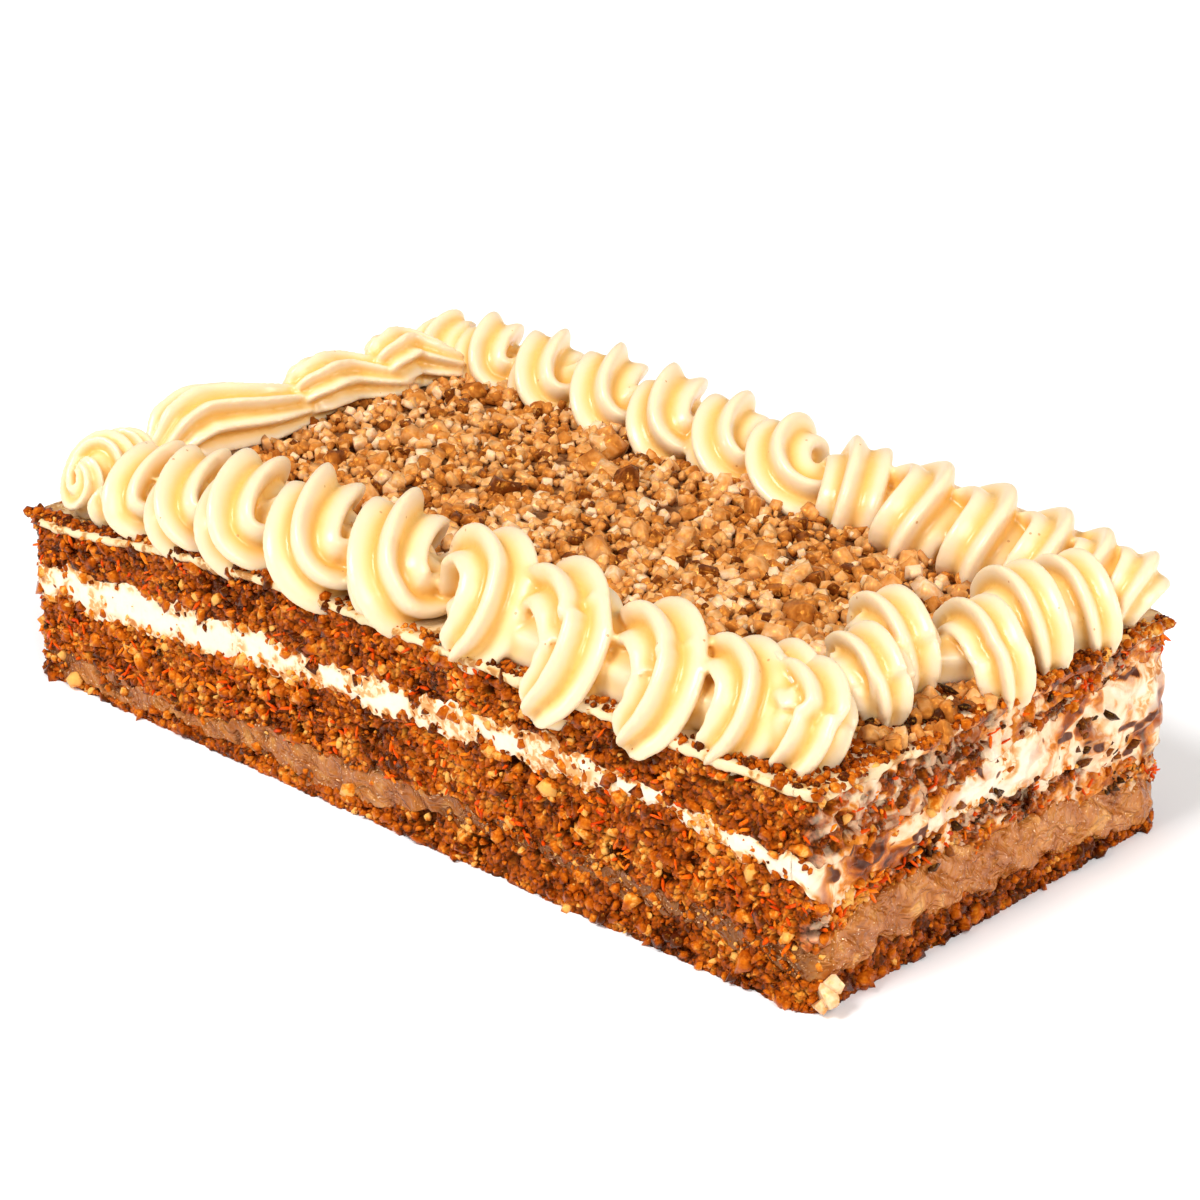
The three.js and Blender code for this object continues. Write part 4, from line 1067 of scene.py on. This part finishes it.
def fuse(name, sweeps):
    # strands that cross become one even skin; the valleys are where the skin lies below its own slow average,
    # and painted shade is laid in them
    starts = np.cumsum([0] + [len(points) for points, faces in sweeps[:-1]])
    faces = [group + start for start, (points, groups) in zip(starts, sweeps) for group in groups]
    raw = makeMesh(name + "Raw", np.concatenate([points for points, groups in sweeps]), faces, pipedLook)
    remesh = raw.modifiers.new("skin", "REMESH")
    remesh.mode, remesh.voxel_size = "VOXEL", star["voxel"] * mm * 1
    bpy.context.view_layer.update()
    skin = bpy.data.meshes.new_from_object(raw.evaluated_get(bpy.context.evaluated_depsgraph_get()))
    bpy.data.objects.remove(raw)
    count = len(skin.vertices)
    points, edges = np.empty(count * 3), np.empty(len(skin.edges) * 2, np.int32)
    skin.vertices.foreach_get("co", points)
    skin.edges.foreach_get("vertices", edges)
    points, (a, b) = points.reshape(-1, 3), edges.reshape(-1, 2).T
    number = np.maximum(np.bincount(a, minlength=count) + np.bincount(b, minlength=count), 1)[:, None]

    def average(value):
        # each point takes the mean of its neighbours
        total = [np.bincount(a, value[b, k], count) + np.bincount(b, value[a, k], count)
                 for k in range(value.shape[1])]
        return np.stack(total, 1) / number

    for step in range(star["settle"]):
        points = 0.5 * points + 0.5 * average(points)
    skin.vertices.foreach_set("co", points.ravel())
    skin.update()
    slow = points
    for step in range(star["slow"]):
        slow = average(slow)
    normals = np.empty(count * 3)
    skin.vertices.foreach_get("normal", normals)
    below = ((slow - points) * normals.reshape(-1, 3)).sum(1)[:, None] / mm
    for step in range(star["even"]):
        below = average(below)
    # painted shade: how deep each point lies in a valley, which the piped cream turns into deeper yellow
    setValue(skin, "creaseShade", smooth(below[:, 0], -0.45, 0.7))
    skin.polygons.foreach_set("use_smooth", np.ones(len(skin.polygons), bool))
    skin.materials.clear()
    skin.materials.append(pipedLook)
    skin.name = name
    return addObject(name, skin)


def arches(row):
    # the strands of a row of arches, with the plain one through their feet
    return [sweepStar(*linkPath(row), star["plainGroove"])] + [sweepStar(*arch) for arch in archPaths(row)]


frontStrands = [sweepStar(*rowPath(frontRow)), sweepStar(*corePath(frontRow), star["plainGroove"])]
backStrands = [sweepStar(*rowPath(backRow), star["backGroove"]),
               sweepStar(*corePath(backRow), star["plainGroove"])]
shellStrands = [sweepStar(*shellPath(values), leftShells["groove"], leftShells["ridges"])
                for values in leftShells["ranges"]]
place(fuse("pipingFront", frontStrands + arches(frontArches)), "piped_cream", "piping_front")
place(fuse("pipingBack", backStrands), "piped_cream", "piping_back")
place(fuse("pipingRight", arches(rightArches)), "piped_cream", "piping_right")
place(fuse("pipingCurls", [sweepStar(*rowPath(cornerCurls))]), "piped_cream", "piping_curls")
place(fuse("pipingLeft", shellStrands), "piped_cream", "piping_left_1", "piping_left_2", "piping_left_3")
print("piping done")

# Camera fitted to the photograph, in millimetres and picture points
view = {"azimuth": 44.70, "elevation": 24.06, "distance": 1030.0, "focal": 3580.0, "frame": 1200.0,
        "rise": 40.3, "sensor": 36}
a, e = math.radians(view["azimuth"]), math.radians(view["elevation"])
back = np.array([math.sin(a) * math.cos(e), -math.cos(a) * math.cos(e), math.sin(e)])
right = np.array([math.cos(a), math.sin(a), 0.0])
up = np.cross(back, right)
eye = (back * view["distance"] + up * view["rise"] + np.array([*cake["planShift"], 0])) * mm
lens = bpy.data.cameras.new("camera")
lens.sensor_width = view["sensor"]
lens.lens = view["sensor"] * view["focal"] / view["frame"]
lens.clip_start, lens.clip_end = 0.05, 20
camera = addObject("camera", lens)
camera.matrix_world = Matrix([[right[k], up[k], back[k], eye[k]] for k in range(3)] + [[0, 0, 0, 1]])
bpy.context.scene.camera = camera

# Pale floor, white surroundings and four soft lamps
floorMesh = bpy.data.meshes.new("floor")
floorMesh.from_pydata([(-4, -4, 0), (4, -4, 0), (4, 4, 0), (-4, 4, 0)], [], [(0, 1, 2, 3)])
floor = addObject("floor", floorMesh)
floorLook, tree, shader = makeLook("paleFloor", 0.9, specular=0.1)
floorColors = [(0.3, (0.95, 0.95, 0.95)), (0.7, (0.97, 0.97, 0.97))]
tree.links.new(ramp(tree, noise(tree, 3, 2), floorColors), shader.inputs["Base Color"])
floorMesh.materials.append(floorLook)

# Each lamp: where it stands, its softness in degrees and its power
studio = {
    "surroundings": 0.32,
    "lamps": {
        "key": ((-0.15, -0.8, 1.1), 22, 2.7),
        "fill": ((0.95, -0.3, 0.8), 35, 2.1),
        "rightGlint": ((0.7, 0.7, 0.16), 9, 0.6),
        "frontGlint": ((-0.7, -0.7, 0.16), 6, 0.4),
    },
}
world = bpy.data.worlds.new("studio")
bpy.context.scene.world = world
world.use_nodes = True
world.node_tree.nodes["Background"].inputs[0].default_value = (1, 1, 1, 1)
world.node_tree.nodes["Background"].inputs[1].default_value = studio["surroundings"]
for name, (way, soft, power) in studio["lamps"].items():
    lamp = bpy.data.lights.new(name, "SUN")
    lamp.angle, lamp.energy = math.radians(soft), power
    addObject(name, lamp).rotation_euler = (-Vector(way)).to_track_quat("-Z", "Y").to_euler()
bpy.context.scene.view_settings.view_transform = "Standard"

print("scene done")
